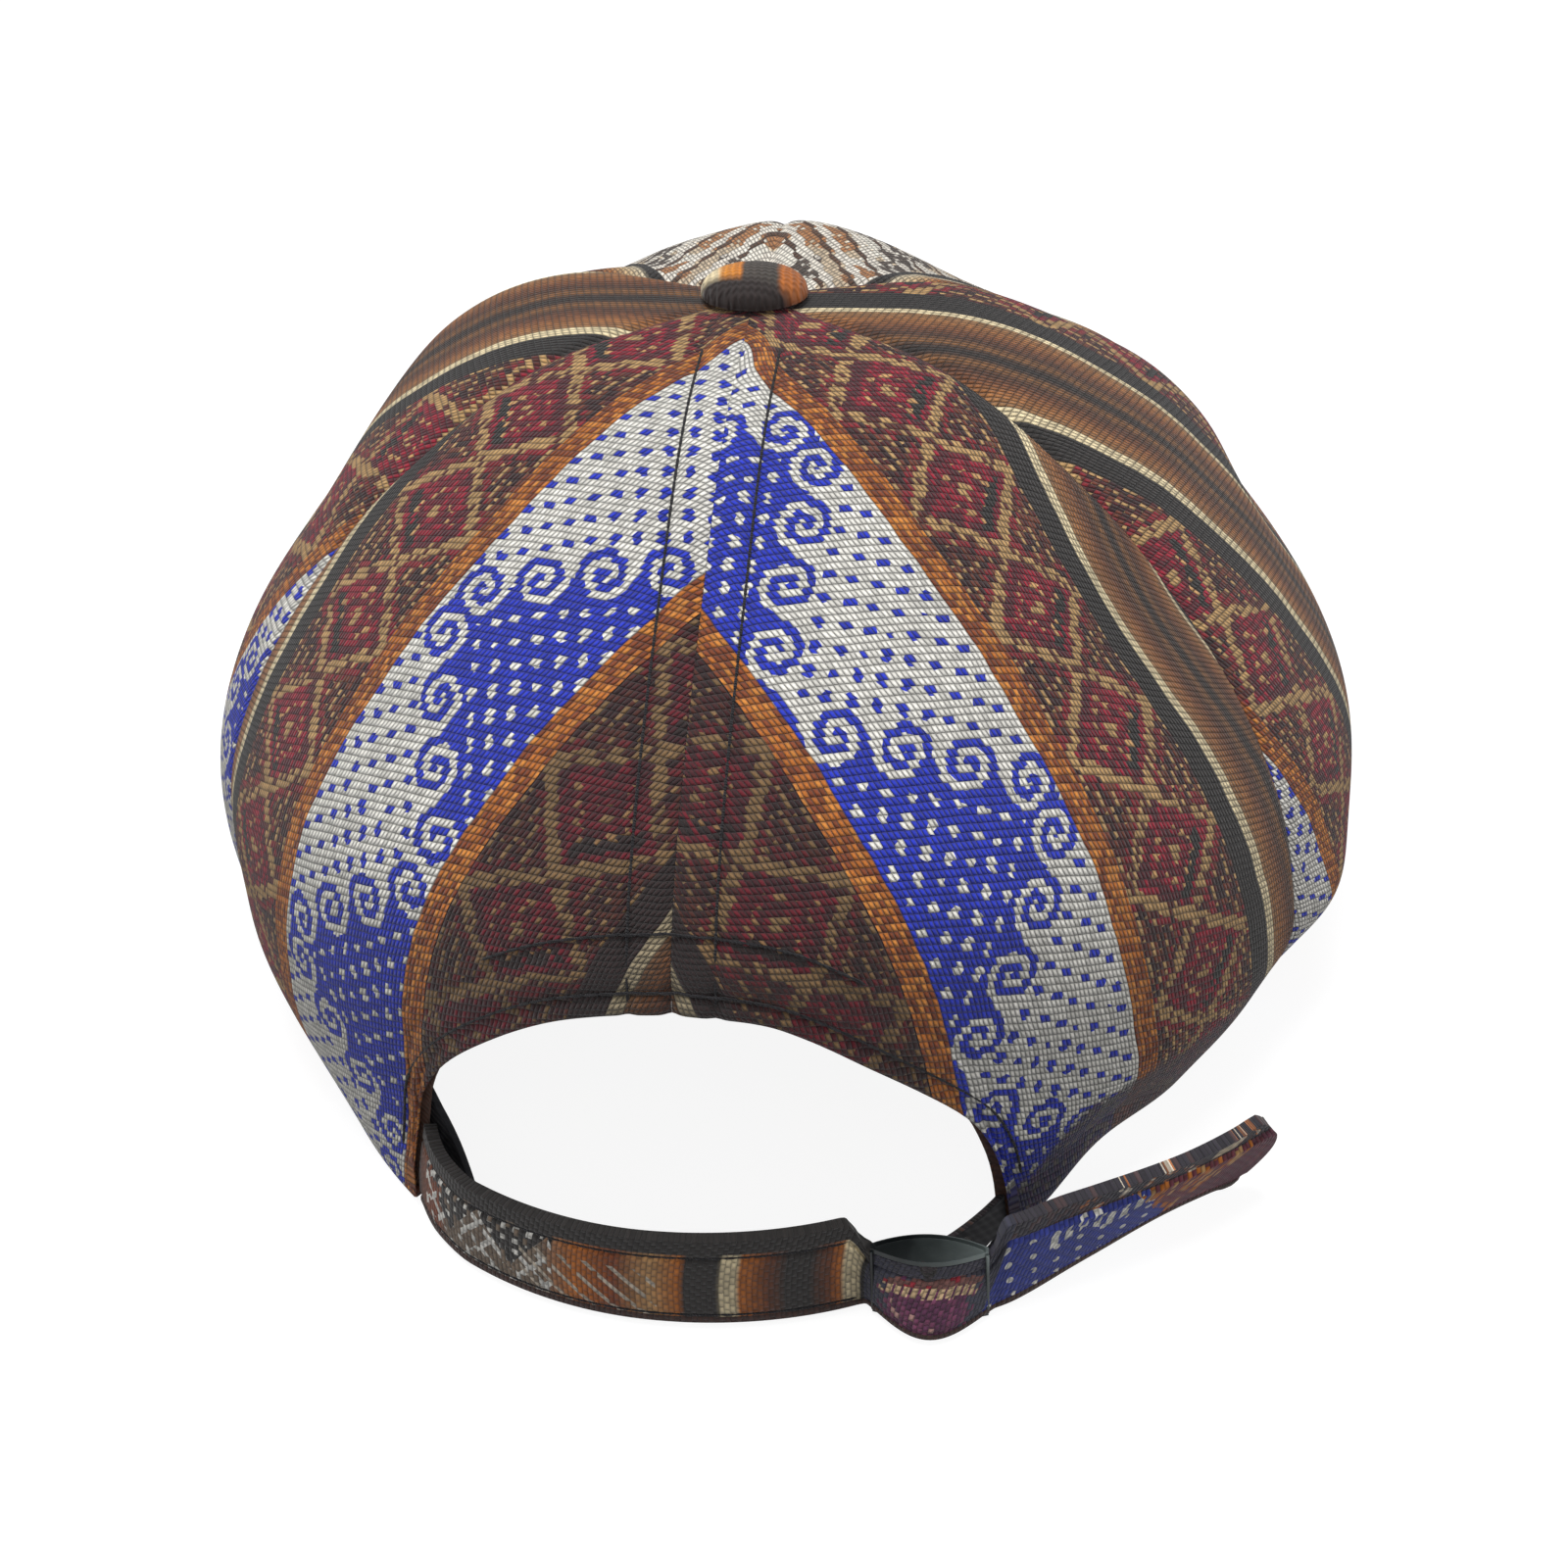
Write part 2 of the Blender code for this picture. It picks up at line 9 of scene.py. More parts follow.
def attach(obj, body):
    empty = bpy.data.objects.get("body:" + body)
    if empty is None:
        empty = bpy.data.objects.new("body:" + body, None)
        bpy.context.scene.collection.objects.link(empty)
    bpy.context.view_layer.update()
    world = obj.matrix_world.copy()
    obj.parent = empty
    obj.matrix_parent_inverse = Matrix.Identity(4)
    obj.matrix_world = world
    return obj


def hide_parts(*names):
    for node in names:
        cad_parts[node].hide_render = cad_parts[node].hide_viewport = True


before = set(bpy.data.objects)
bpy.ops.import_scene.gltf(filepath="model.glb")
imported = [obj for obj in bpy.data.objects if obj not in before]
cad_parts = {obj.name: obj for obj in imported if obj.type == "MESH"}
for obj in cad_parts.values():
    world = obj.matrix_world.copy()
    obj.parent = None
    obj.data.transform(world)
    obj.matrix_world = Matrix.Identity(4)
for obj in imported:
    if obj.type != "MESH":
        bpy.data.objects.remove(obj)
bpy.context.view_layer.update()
print("the packed cap is loaded")

# small helpers for shader nodes


def screen(red, green, blue):
    # a colour as it is seen on a screen, 0 to 255, made linear for a shader
    def linear(value):
        value = value / 255
        return value / 12.92 if value <= 0.04045 else ((value + 0.055) / 1.055) ** 2.4
    return (linear(red), linear(green), linear(blue), 1.0)


class Wire:
    # a shader value that can be added, multiplied and compared in plain sums
    def __init__(self, tree, source):
        self.tree = tree
        self.source = source

    def do(self, operation, *others):
        node = self.tree.nodes.new("ShaderNodeMath")
        node.operation = operation
        for plug, value in zip(node.inputs, (self, *others)):
            if isinstance(value, Wire):
                value = value.source
            if isinstance(value, (int, float)):
                plug.default_value = value
            else:
                self.tree.links.new(value, plug)
        return Wire(self.tree, node.outputs[0])

    def __add__(self, other):
        return self.do("ADD", other)

    def __sub__(self, other):
        return self.do("SUBTRACT", other)

    def __mul__(self, other):
        return self.do("MULTIPLY", other)

    def __truediv__(self, other):
        return self.do("DIVIDE", other)

    def under(self, other):
        return self.do("LESS_THAN", other)

    def over(self, other):
        return self.do("GREATER_THAN", other)

    def wrap(self, size):
        return self.do("FLOORED_MODULO", size)

    def floor(self):
        return self.do("FLOOR")

    def size(self):
        return self.do("ABSOLUTE")

    def least(self, other):
        return self.do("MINIMUM", other)

    def most(self, other):
        return self.do("MAXIMUM", other)

    def reach(self, other):
        # length of the sloping side over two others
        return (self * self + other * other).do("SQRT")

    def inverse(self):
        return Wire(self.tree, 1.0).do("SUBTRACT", self)


def startMaterial(name, roughness, sheen=0.0, metallic=0.0):
    material = bpy.data.materials.new(name)
    material.use_nodes = True
    tree = material.node_tree
    surface = tree.nodes["Principled BSDF"]
    surface.inputs["Roughness"].default_value = roughness
    surface.inputs["Sheen Weight"].default_value = sheen
    surface.inputs["Sheen Roughness"].default_value = 0.5
    surface.inputs["Metallic"].default_value = metallic
    return material, tree, surface


def paint(base, colour, mask):
    # lays a colour over another where the mask is 1
    node = mask.tree.nodes.new("ShaderNodeMix")
    node.data_type = "RGBA"
    mask.tree.links.new(mask.source, node.inputs[0])
    for plug, value in ((node.inputs[6], base), (node.inputs[7], colour)):
        if isinstance(value, tuple):
            plug.default_value = value
        else:
            mask.tree.links.new(value, plug)
    return node.outputs[2]


def shadeBy(colour, amount):
    # multiplies a colour by a value
    node = amount.tree.nodes.new("ShaderNodeMix")
    node.data_type = "RGBA"
    node.blend_type = "MULTIPLY"
    node.inputs[0].default_value = 1.0
    amount.tree.links.new(colour, node.inputs[6])
    amount.tree.links.new(amount.source, node.inputs[7])
    return node.outputs[2]


def colourRamp(value, stops):
    node = value.tree.nodes.new("ShaderNodeValToRGB")
    elements = node.color_ramp.elements
    while len(elements) < len(stops):
        elements.new(0.5)
    for element, (place, colour) in zip(elements, stops):
        element.position = place
        element.color = colour
    value.tree.links.new(value.source, node.inputs[0])
    return node.outputs[0]


def finishLook(surface, colour, height, depth):
    # the colour, and the height as a bump
    tree = height.tree
    tree.links.new(colour, surface.inputs["Base Color"])
    bump = tree.nodes.new("ShaderNodeBump")
    bump.inputs["Strength"].default_value = 1.0
    bump.inputs["Distance"].default_value = depth
    tree.links.new(height.source, bump.inputs["Height"])
    tree.links.new(bump.outputs[0], surface.inputs["Normal"])


def noiseAt(tree, place, scale, detail=2.0):
    noise = tree.nodes.new("ShaderNodeTexNoise")
    noise.inputs["Scale"].default_value = scale
    noise.inputs["Detail"].default_value = detail
    tree.links.new(place, noise.inputs["Vector"])
    return Wire(tree, noise.outputs["Fac"])


def randomAt(across, along, seed=0.0):
    tree = across.tree
    joined = tree.nodes.new("ShaderNodeCombineXYZ")
    tree.links.new(across.source, joined.inputs[0])
    tree.links.new(along.source, joined.inputs[1])
    joined.inputs[2].default_value = seed
    dice = tree.nodes.new("ShaderNodeTexWhiteNoise")
    dice.noise_dimensions = "3D"
    tree.links.new(joined.outputs[0], dice.inputs["Vector"])
    return Wire(tree, dice.outputs["Value"])


def splitWires(tree, place):
    parts = tree.nodes.new("ShaderNodeSeparateXYZ")
    tree.links.new(place, parts.inputs[0])
    return [Wire(tree, plug) for plug in parts.outputs]


def objectPlace(tree):
    return tree.nodes.new("ShaderNodeTexCoord").outputs["Object"]


def clothPlace(tree):
    # the place on the flat cloth, in mm
    coordinates = tree.nodes.new("ShaderNodeUVMap")
    coordinates.uv_map = "cloth"
    return coordinates.outputs[0]


# small helpers for meshes and lines


def meshObject(name, shape, materials):
    mesh = bpy.data.meshes.new(name)
    shape.to_mesh(mesh)
    shape.free()
    for material in materials:
        mesh.materials.append(material)
    mesh.shade_smooth()
    piece = bpy.data.objects.new(name, mesh)
    bpy.context.scene.collection.objects.link(piece)
    return piece


def bevelEdges(piece, width, degrees):
    edge = piece.modifiers.new("edge", "BEVEL")
    edge.width = width
    edge.segments = 2
    edge.limit_method = "ANGLE"
    edge.angle_limit = math.radians(degrees)
    return edge


def reachAlong(points):
    # the length from a line's start to each of its points
    return np.concatenate([[0.0], np.cumsum(np.linalg.norm(np.diff(points, axis=0), axis=1))])


def pointsAt(where, reach, points):
    return np.stack([np.interp(where, reach, points[:, axis]) for axis in range(3)], axis=-1)


def unitRows(rows):
    return rows / np.linalg.norm(rows, axis=1, keepdims=True)


def ridge(value, middle, spread):
    return np.exp(-(((value - middle) / spread) ** 2))


# camera and light

camera = {
    "place": (0.0654, -0.3862, 0.3032),
    "lookAt": (0.00013, 0.016, 0.01943),
    "rollDegrees": -3.0,
    "lens": 62.06,
    "sensor": 36.0,
}
studio = {
    "world": 1.0,
    # the surroundings from straight below to straight above, white along the horizon
    "sky": (
        (0.0, (0.02, 0.02, 0.023, 1.0)), (0.484, (0.07, 0.07, 0.08, 1.0)),
        (0.490, (1.0, 1.0, 1.0, 1.0)), (0.519, (1.0, 1.0, 1.0, 1.0)),
        (0.528, (0.075, 0.075, 0.084, 1.0)), (0.70, (0.21, 0.214, 0.235, 1.0)),
        (1.0, (0.42, 0.42, 0.42, 1.0)),
    ),
    "aim": (0.0, 0.0, 0.04),
    "keyPlace": (-0.06, 0.06, 1.15),
    "keySize": 0.6,
    "keyPower": 10.5,
    "fillPlace": (0.05, -1.0, 0.75),
    "fillSize": 0.6,
    "fillPower": 1.4,
    "floorTone": 0.21,
    "floorGlow": 0.900,
    "sidePlaces": ((-1.0, -0.35, 0.22), (1.0, -0.20, 0.22)),
    "sideSize": 0.5,
    "sidePower": 2.6,
}


def addCamera():
    place = Vector(camera["place"])
    ahead = (Vector(camera["lookAt"]) - place).normalized()
    right = ahead.cross(Vector((0, 0, 1))).normalized()
    up = right.cross(ahead)
    roll = math.radians(camera["rollDegrees"])
    turnedRight = right * math.cos(roll) + up * math.sin(roll)
    turnedUp = up * math.cos(roll) - right * math.sin(roll)
    data = bpy.data.cameras.new("camera")
    data.sensor_width = camera["sensor"]
    data.lens = camera["lens"]
    data.clip_start = 0.01
    eye = bpy.data.objects.new("camera", data)
    bpy.context.scene.collection.objects.link(eye)
    turn = Matrix((turnedRight, turnedUp, -ahead)).transposed()
    eye.matrix_world = Matrix.Translation(place) @ turn.to_4x4()
    bpy.context.scene.camera = eye


def addLight(name, place, size, power):
    data = bpy.data.lights.new(name, "AREA")
    data.size = size
    data.energy = power
    lamp = bpy.data.objects.new(name, data)
    lamp.location = place
    aim = Vector(studio["aim"]) - Vector(place)
    lamp.rotation_euler = aim.to_track_quat("-Z", "Y").to_euler()
    bpy.context.scene.collection.objects.link(lamp)


def addStudio():
    scene = bpy.context.scene
    scene.view_settings.view_transform = "Standard"
    scene.view_settings.look = "None"
    world = bpy.data.worlds.new("studio")
    scene.world = world
    world.use_nodes = True
    backdrop = world.node_tree.nodes["Background"]
    way = world.node_tree.nodes.new("ShaderNodeTexCoord").outputs["Generated"]
    upward = splitWires(world.node_tree, way)[2]
    glow = colourRamp(upward * 0.5 + 0.5, studio["sky"])
    world.node_tree.links.new(glow, backdrop.inputs["Color"])
    backdrop.inputs["Strength"].default_value = studio["world"]
    addLight("key", studio["keyPlace"], studio["keySize"], studio["keyPower"])
    addLight("fill", studio["fillPlace"], studio["fillSize"], studio["fillPower"])
    for number, place in enumerate(studio["sidePlaces"]):
        addLight(f"side_{number}", place, studio["sideSize"], studio["sidePower"])
    plane = bmesh.new()
    bmesh.ops.create_grid(plane, x_segments=1, y_segments=1, size=20.0)
    material, _, surface = startMaterial("pale floor", 0.9)
    tone = studio["floorTone"]
    surface.inputs["Base Color"].default_value = (tone, tone, tone, 1.0)
    surface.inputs["Specular IOR Level"].default_value = 0.0
    surface.inputs["Emission Color"].default_value = (1.0, 1.0, 1.0, 1.0)
    surface.inputs["Emission Strength"].default_value = studio["floorGlow"]
    floor = meshObject("floor", plane, [material])
    floor.visible_diffuse = False


addCamera()
addStudio()
print("camera and light are set")

# the crown's shape

crown = {
    "halfWidth": 0.0855,
    "halfDepth": 0.1002,
    "height": 0.113,
    "centre": 0.016,
    "frontFullness": 2.2,
    "backFullness": 1.92,
    "topAside": -0.0018,
    "topAhead": 0.008,
    "sideSeam": 65.0,
    "frontSeam": 122.0,
    "clearance": 0.0004,
    "cloth": 0.002,
    "valleyDepth": 0.0009,
    "valleySpread": 5.0,
    "grooveDepth": 0.0006,
    "grooveWidth": 0.0011,
    "stitchOffset": 0.0065,
    "stitchPull": 0.0004,
    # where the rim is pressed in: middle angle, spread, depth and up to which rise
    "tuck": (40.0, 10.0, 0.0050, 0.22),
    "topHole": 0.0030,
    # rise, height, side, back, front
    "sections": (
        (0.00, 0.000, 1.000, 1.000, 1.00),
        (0.12, 0.122, 1.129, 0.939, 1.00),
        (0.25, 0.244, 1.181, 0.935, 1.01),
        (0.38, 0.400, 1.145, 0.958, 1.01),
        (0.52, 0.559, 1.043, 0.932, 0.98),
        (0.66, 0.698, 0.907, 0.799, 0.88),
        (0.79, 0.837, 0.723, 0.576, 0.67),
        (0.90, 0.965, 0.416, 0.308, 0.385),
        (1.00, 1.000, 0.000, 0.000, 0.00),
    ),
    # angle, rise, spread in degrees, spread in rise, depth
    "dents": (
        (178.0, 0.88, 24.0, 0.12, 0.047),
        (137.0, 0.85, 14.0, 0.11, -0.042),
        (118.0, 0.69, 12.0, 0.10, 0.026),
        (110.0, 0.54, 9.0, 0.07, -0.024),
        (93.0, 0.34, 18.0, 0.10, 0.014),
        (73.0, 0.20, 9.0, 0.07, 0.032),
        (37.0, 0.04, 11.0, 0.07, -0.018),
        (-62.0, 0.26, 13.0, 0.10, -0.021),
        (-94.0, 0.60, 12.0, 0.09, -0.028),
        (-113.0, 0.80, 12.0, 0.09, 0.048),
        (-137.0, 0.88, 10.0, 0.10, -0.024),
    ),
}
arch = {
    "angle": 27.0,
    "height": 0.0545,
    # along, left, right, height
    "edge": (
        (0.00, 0.00, 0.00, 1.000),
        (0.15, -0.20, 0.22, 0.982),
        (0.30, -0.38, 0.36, 0.925),
        (0.45, -0.58, 0.53, 0.805),
        (0.60, -0.76, 0.71, 0.650),
        (0.72, -0.89, 0.87, 0.480),
        (0.82, -0.95, 0.95, 0.320),
        (0.91, -0.99, 0.99, 0.160),
        (1.00, -1.00, 1.00, 0.000),
    ),
}
# the part of a back panel's lower edge that runs along the arch
archShare = 0.55
peak = {
    "reach": 0.068,
    "halfWidth": 0.078,
    "angle": 58.0,
    "thickness": 0.0026,
    "camber": 0.013,
    "droop": 0.3,
    "gap": 0.0003,
}


def readTable(rows, column, along):
    # smooth curve through a table's rows
    rows = np.array(rows, float)
    places, values = rows[:, 0], rows[:, column]
    last = len(places) - 1
    along = np.clip(np.asarray(along, float), places[0], places[last])
    first = np.clip(np.searchsorted(places, along, side="left") - 1, 0, last - 1)
    after = np.minimum(np.arange(last + 1) + 1, last)
    before = np.maximum(np.arange(last + 1) - 1, 0)
    slopes = (values[after] - values[before]) / (places[after] - places[before])
    span = places[first + 1] - places[first]
    share = (along - places[first]) / span
    return (
        (2 * share**3 - 3 * share**2 + 1) * values[first]
        + (share**3 - 2 * share**2 + share) * slopes[first] * span
        + (3 * share**2 - 2 * share**3) * values[first + 1]
        + (share**3 - share**2) * slopes[first + 1] * span
    )


def turnBetween(angle, other):
    return (angle - other + 180.0) % 360.0 - 180.0


def ease(share):
    share = np.clip(share, 0.0, 1.0)
    return share * share * (3 - 2 * share)


def rimRadius(angle, side, back, front):
    radians = np.radians(angle)
    backward = ease(0.5 + 0.5 * np.cos(radians))
    reach = back * backward + front * (1 - backward)
    fullness = crown["frontFullness"] + (crown["backFullness"] - crown["frontFullness"]) * backward
    across = np.abs(np.sin(radians)) / side
    along = np.abs(np.cos(radians)) / reach
    return (across**fullness + along**fullness) ** (-1 / fullness)


def crownRadius(angle, rise):
    side = crown["halfWidth"] * readTable(crown["sections"], 2, rise)
    back = (crown["halfDepth"] + crown["centre"]) * readTable(crown["sections"], 3, rise)
    front = (crown["halfDepth"] - crown["centre"]) * readTable(crown["sections"], 4, rise)
    return rimRadius(angle, np.maximum(side, 1e-5), np.maximum(back, 1e-5), np.maximum(front, 1e-5))


def peakTop(aside, outward):
    camber = peak["camber"] * (1 - (aside / peak["halfWidth"]) ** 2)
    return peak["thickness"] + peak["gap"] + np.maximum(camber, 0.0) * (1 - peak["droop"] * outward)


def rimLift(angle):
    fromFront = np.abs(turnBetween(angle, 180.0))
    root = np.minimum(fromFront, peak["angle"])
    aside = crownRadius(180.0 - root, 0.0) * np.sin(np.radians(root))
    fade = 1 - ease((fromFront - peak["angle"] - 2.0) / 16.0)
    return (peakTop(aside, 0.0) + peak["gap"]) * fade


def dentDepth(angle, rise):
    depth = 0.0
    for middle, level, angleSpread, riseSpread, share in crown["dents"]:
        aside = turnBetween(angle, middle) / angleSpread
        above = (rise - level) / riseSpread
        depth = depth + share * crown["halfWidth"] * np.exp(-aside**2 - above**2)
    return depth * ease((0.98 - rise) / 0.1) * ease(rise / 0.06)


def seamTurn(angle):
    seams = (0.0, crown["sideSeam"], -crown["sideSeam"], crown["frontSeam"], -crown["frontSeam"], 180.0)
    return np.min([np.abs(turnBetween(angle, seam)) for seam in seams], axis=0)


def seamDepth(angle, rise):
    turn = seamTurn(angle)
    away = np.radians(turn) * crownRadius(angle, rise)
    fade = ease((1 - rise) / 0.25) * ease(rise / 0.05)
    valley = crown["valleyDepth"] * np.exp(-((turn / crown["valleySpread"]) ** 2)) * fade
    groove = crown["grooveDepth"] * np.exp(-((away / crown["grooveWidth"]) ** 2))
    fromBack = np.abs(turnBetween(angle, 0.0)) * math.pi / 180 * crownRadius(angle, rise)
    row = crown["stitchPull"] * np.exp(-(((fromBack - crown["stitchOffset"]) / 0.001) ** 2))
    return valley + (groove + row) * ease((1 - rise) / 0.06)


def tuckDepth(angle, rise):
    middle, spread, depth, top = crown["tuck"]
    return depth * np.exp(-((turnBetween(angle, middle) / spread) ** 2)) * (1 - ease(rise / top))


def crownPoint(angle, rise, detail=True):
    # a point on the crown's outer face; angles run from the back towards +X
    angle, rise = np.asarray(angle, float), np.asarray(rise, float)
    radians = np.radians(angle)
    push = dentDepth(angle, rise)
    if detail:
        push = push - seamDepth(angle, rise)
    upward = ease((rise - 0.55) / 0.35)
    radius = crownRadius(angle, rise) + push * (1 - upward) - tuckDepth(angle, rise)
    height = crown["height"] * readTable(crown["sections"], 1, rise)
    height = height + push * upward + (rimLift(angle) + crown["clearance"]) * (1 - rise) ** 2
    return np.stack([
        radius * np.sin(radians) + crown["topAside"] * rise**2,
        crown["centre"] - radius * np.cos(radians) + crown["topAhead"] * rise**2,
        height,
    ], axis=-1)


riseSteps = np.linspace(0, 1, 1001)
heightSteps = crown["height"] * readTable(crown["sections"], 1, riseSteps)


def riseAtHeight(height):
    return np.interp(height, heightSteps, riseSteps)


def topRise():
    return float(np.interp(-crown["topHole"], -crownRadius(0.0, riseSteps), riseSteps))


# how the cloth is cut

# each cut's middle line on the crown in degrees, how far the stripes lean from it, where the blue and
# white band's middle lies across it, and where the motifs start along it, in mm
cutColumns = ("middle", "lean", "band", "side", "corner", "leg", "outerDiamond", "innerDiamond")


def makeCut(*row, cornerDepth=-14.2, **more):
    return {**dict(zip(cutColumns, row)), "cornerDepth": cornerDepth, **more}


cuts = {
    "panel_back_left": makeCut(-32.5, 11.5, 27.25, 1.0, 77.9, 31.65, 45.8, 59.9, open=True, point=3.0,
                               pointReach=7.5),
    # the right back panel carries painted shade along its lower rim
    "panel_back_right": makeCut(32.5, -10.0, -29.8, -1.0, 109.5, 35.0, 36.5, 31.6, cornerDepth=-15.5,
                                point=6.2, pointReach=9.5, darkHem=(0.0088, 1.25, 0.019)),
    "panel_side_left": makeCut(-93.5, 10.0, 64.5, 1.0, 100.0, 31.65, 54.0, 54.0),
    "panel_side_right": makeCut(93.5, -9.5, -79.4, -1.0, 100.0, 31.65, 50.0, 50.0),
    "panel_front_left": makeCut(-151.0, 4.0, -6.0, 1.0, 90.0, 31.65, 50.0, 50.0, figures=True),
    "panel_front_right": makeCut(151.0, -4.0, 6.0, -1.0, 80.0, 31.65, 40.0, 40.0, figures=True),
}
seamPull = {"depth": 11.5, "from": 18.0, "over": 31.0, "level": 82.0, "spread": 28.0}


def clothPlaces(name, angles, rises):
    # lays a gore flat: rows bend round the crown's top as on a cone, then the cut's own lean is applied
    cut = cuts[name]
    rows, columns, half = 241, 113, 70.0
    steps = np.linspace(1.0, 0.0, rows)
    spread = np.linspace(-half, half, columns)
    middle = crownPoint(cut["middle"], steps, detail=False) * 1000
    down = reachAlong(middle)
    reach = np.hypot(middle[:, 0], middle[:, 1] - crown["centre"] * 1000)
    bend = np.gradient(reach, down) / np.maximum(reach, 1e-3)
    turn, level = np.meshgrid(cut["middle"] + spread, steps)
    wall = crownPoint(turn, level, detail=False) * 1000
    sideways = np.concatenate([
        np.zeros((len(steps), 1)),
        np.cumsum(np.linalg.norm(np.diff(wall, axis=1), axis=2), axis=1),
    ], axis=1)
    sideways -= sideways[:, columns // 2:columns // 2 + 1]
    fromMiddle = (turnBetween(angles, cut["middle"]) + half) / (2 * half / (columns - 1))
    column = np.clip(np.floor(fromMiddle).astype(int), 0, columns - 2)
    partColumn = fromMiddle - column
    fromTop = (1.0 - rises) * (rows - 1)
    row = np.clip(np.floor(fromTop).astype(int), 0, rows - 2)
    partRow = fromTop - row
    width = (
        sideways[row, column] * (1 - partColumn) * (1 - partRow)
        + sideways[row, column + 1] * partColumn * (1 - partRow)
        + sideways[row + 1, column] * (1 - partColumn) * partRow
        + sideways[row + 1, column + 1] * partColumn * partRow
    )
    length = np.interp(fromTop, np.arange(rows), down)
    curve = np.interp(fromTop, np.arange(rows), bend)
    curve = np.where(np.abs(curve) < 1e-5, 1e-5, curve)
    flatAcross = np.sin(curve * width) / curve
    flatAlong = length - (1 - np.cos(curve * width)) / curve
    lean = math.radians(cut["lean"])
    across = flatAcross * math.cos(lean) + flatAlong * math.sin(lean)
    along = flatAlong * math.cos(lean) - flatAcross * math.sin(lean)
    across = (across - cut["band"]) * cut["side"]
    if name.startswith("panel_back"):
        fromSeam = np.abs(turnBetween(angles, 0.0)) * math.pi / 180 * crownRadius(angles, rises) * 1000
        pointed = np.maximum(1 - fromSeam / cut["pointReach"], 0.0)
        across = across + cut["point"] * pointed * ridge(length, 15.0, 9.0)
    if name == "panel_back_right":
        beyond = np.maximum(-across - seamPull["from"], 0) / seamPull["over"]
        level = (flatAlong - seamPull["level"]) / seamPull["spread"]
        across = across - seamPull["depth"] * beyond**1.5 * np.exp(-level**2)
    return along, across


# the woven cloth

thread = {
    "blue": screen(30, 50, 188),
    "white": screen(232, 229, 220),
    "orange": screen(196, 112, 34),
    "rust": screen(128, 62, 28),
    "beige": screen(186, 148, 96),
    "maroon": screen(84, 26, 36),
    "black": screen(42, 38, 36),
    "cream": screen(232, 214, 172),
    "tan": screen(196, 150, 96),
    "brown": screen(104, 58, 34),
}
weave = {
    "grainLength": 1.4,
    "grainWidth": 0.74,
    "slant": 0.55,
    "snap": 0.72,
    "relief": 0.0005,
    "scrollPitch": 10.6,
    "scrollSize": 4.9,
    "armPitch": 2.9,
    "dotPitch": 3.9,
    "dotSize": 0.92,
    "bandHalf": 15.65,
    "stripe": 4.0,
    "diamondEnd": 43.5,
    "blackEnd": 49.0,
    "ropeEnd": 50.9,
    "ombreMiddle": 62.0,
    "diamondPitch": 23.3,
    "diamondMiddle": 31.6,
}
# side of a square over its diagonal
diagonal = 0.7071


def scrollBand(along, across, cut):
    # white with blue dots on one side of a zigzag and blue with white dots on the other, scrolls between
    half = cut["leg"]
    before = (along * -1.0 + cut["corner"]).most(0.0)
    if cut.get("open") is None:
        before = before.do("PINGPONG", half)
    beyond = (along - cut["corner"]).most(0.0).do("PINGPONG", half)
    fromCorner = before + beyond
    edge = fromCorner + cut["cornerDepth"]
    inside = (across - edge) * diagonal
    legPlace = (fromCorner + across - cut["cornerDepth"]) * diagonal
    pitch = weave["scrollPitch"]
    fromScroll = (legPlace - 0.6).wrap(pitch) - pitch / 2
    lifted = inside + 0.4
    radius = fromScroll.reach(lifted)
    turn = (lifted * -1.0).do("ARCTAN2", fromScroll * -1.0) / (2 * math.pi)
    spiral = ((radius - weave["scrollSize"]) / weave["armPitch"] + turn + 0.5).wrap(1.0).under(0.5)
    ground = inside.over(0.0)
    near = radius.under(weave["scrollSize"])
    isBlue = ground + (spiral - ground) * near
    dotPitch = weave["dotPitch"]
    dotAlong = (legPlace + 0.9).wrap(dotPitch) - dotPitch / 2
    dotAcross = (inside + 0.3).wrap(dotPitch) - dotPitch / 2
    dot = dotAlong.reach(dotAcross).under(weave["dotSize"]) * inside.size().over(5.2)
    isBlue = (isBlue - dot).size()
    return paint(thread["white"], thread["blue"], isBlue)


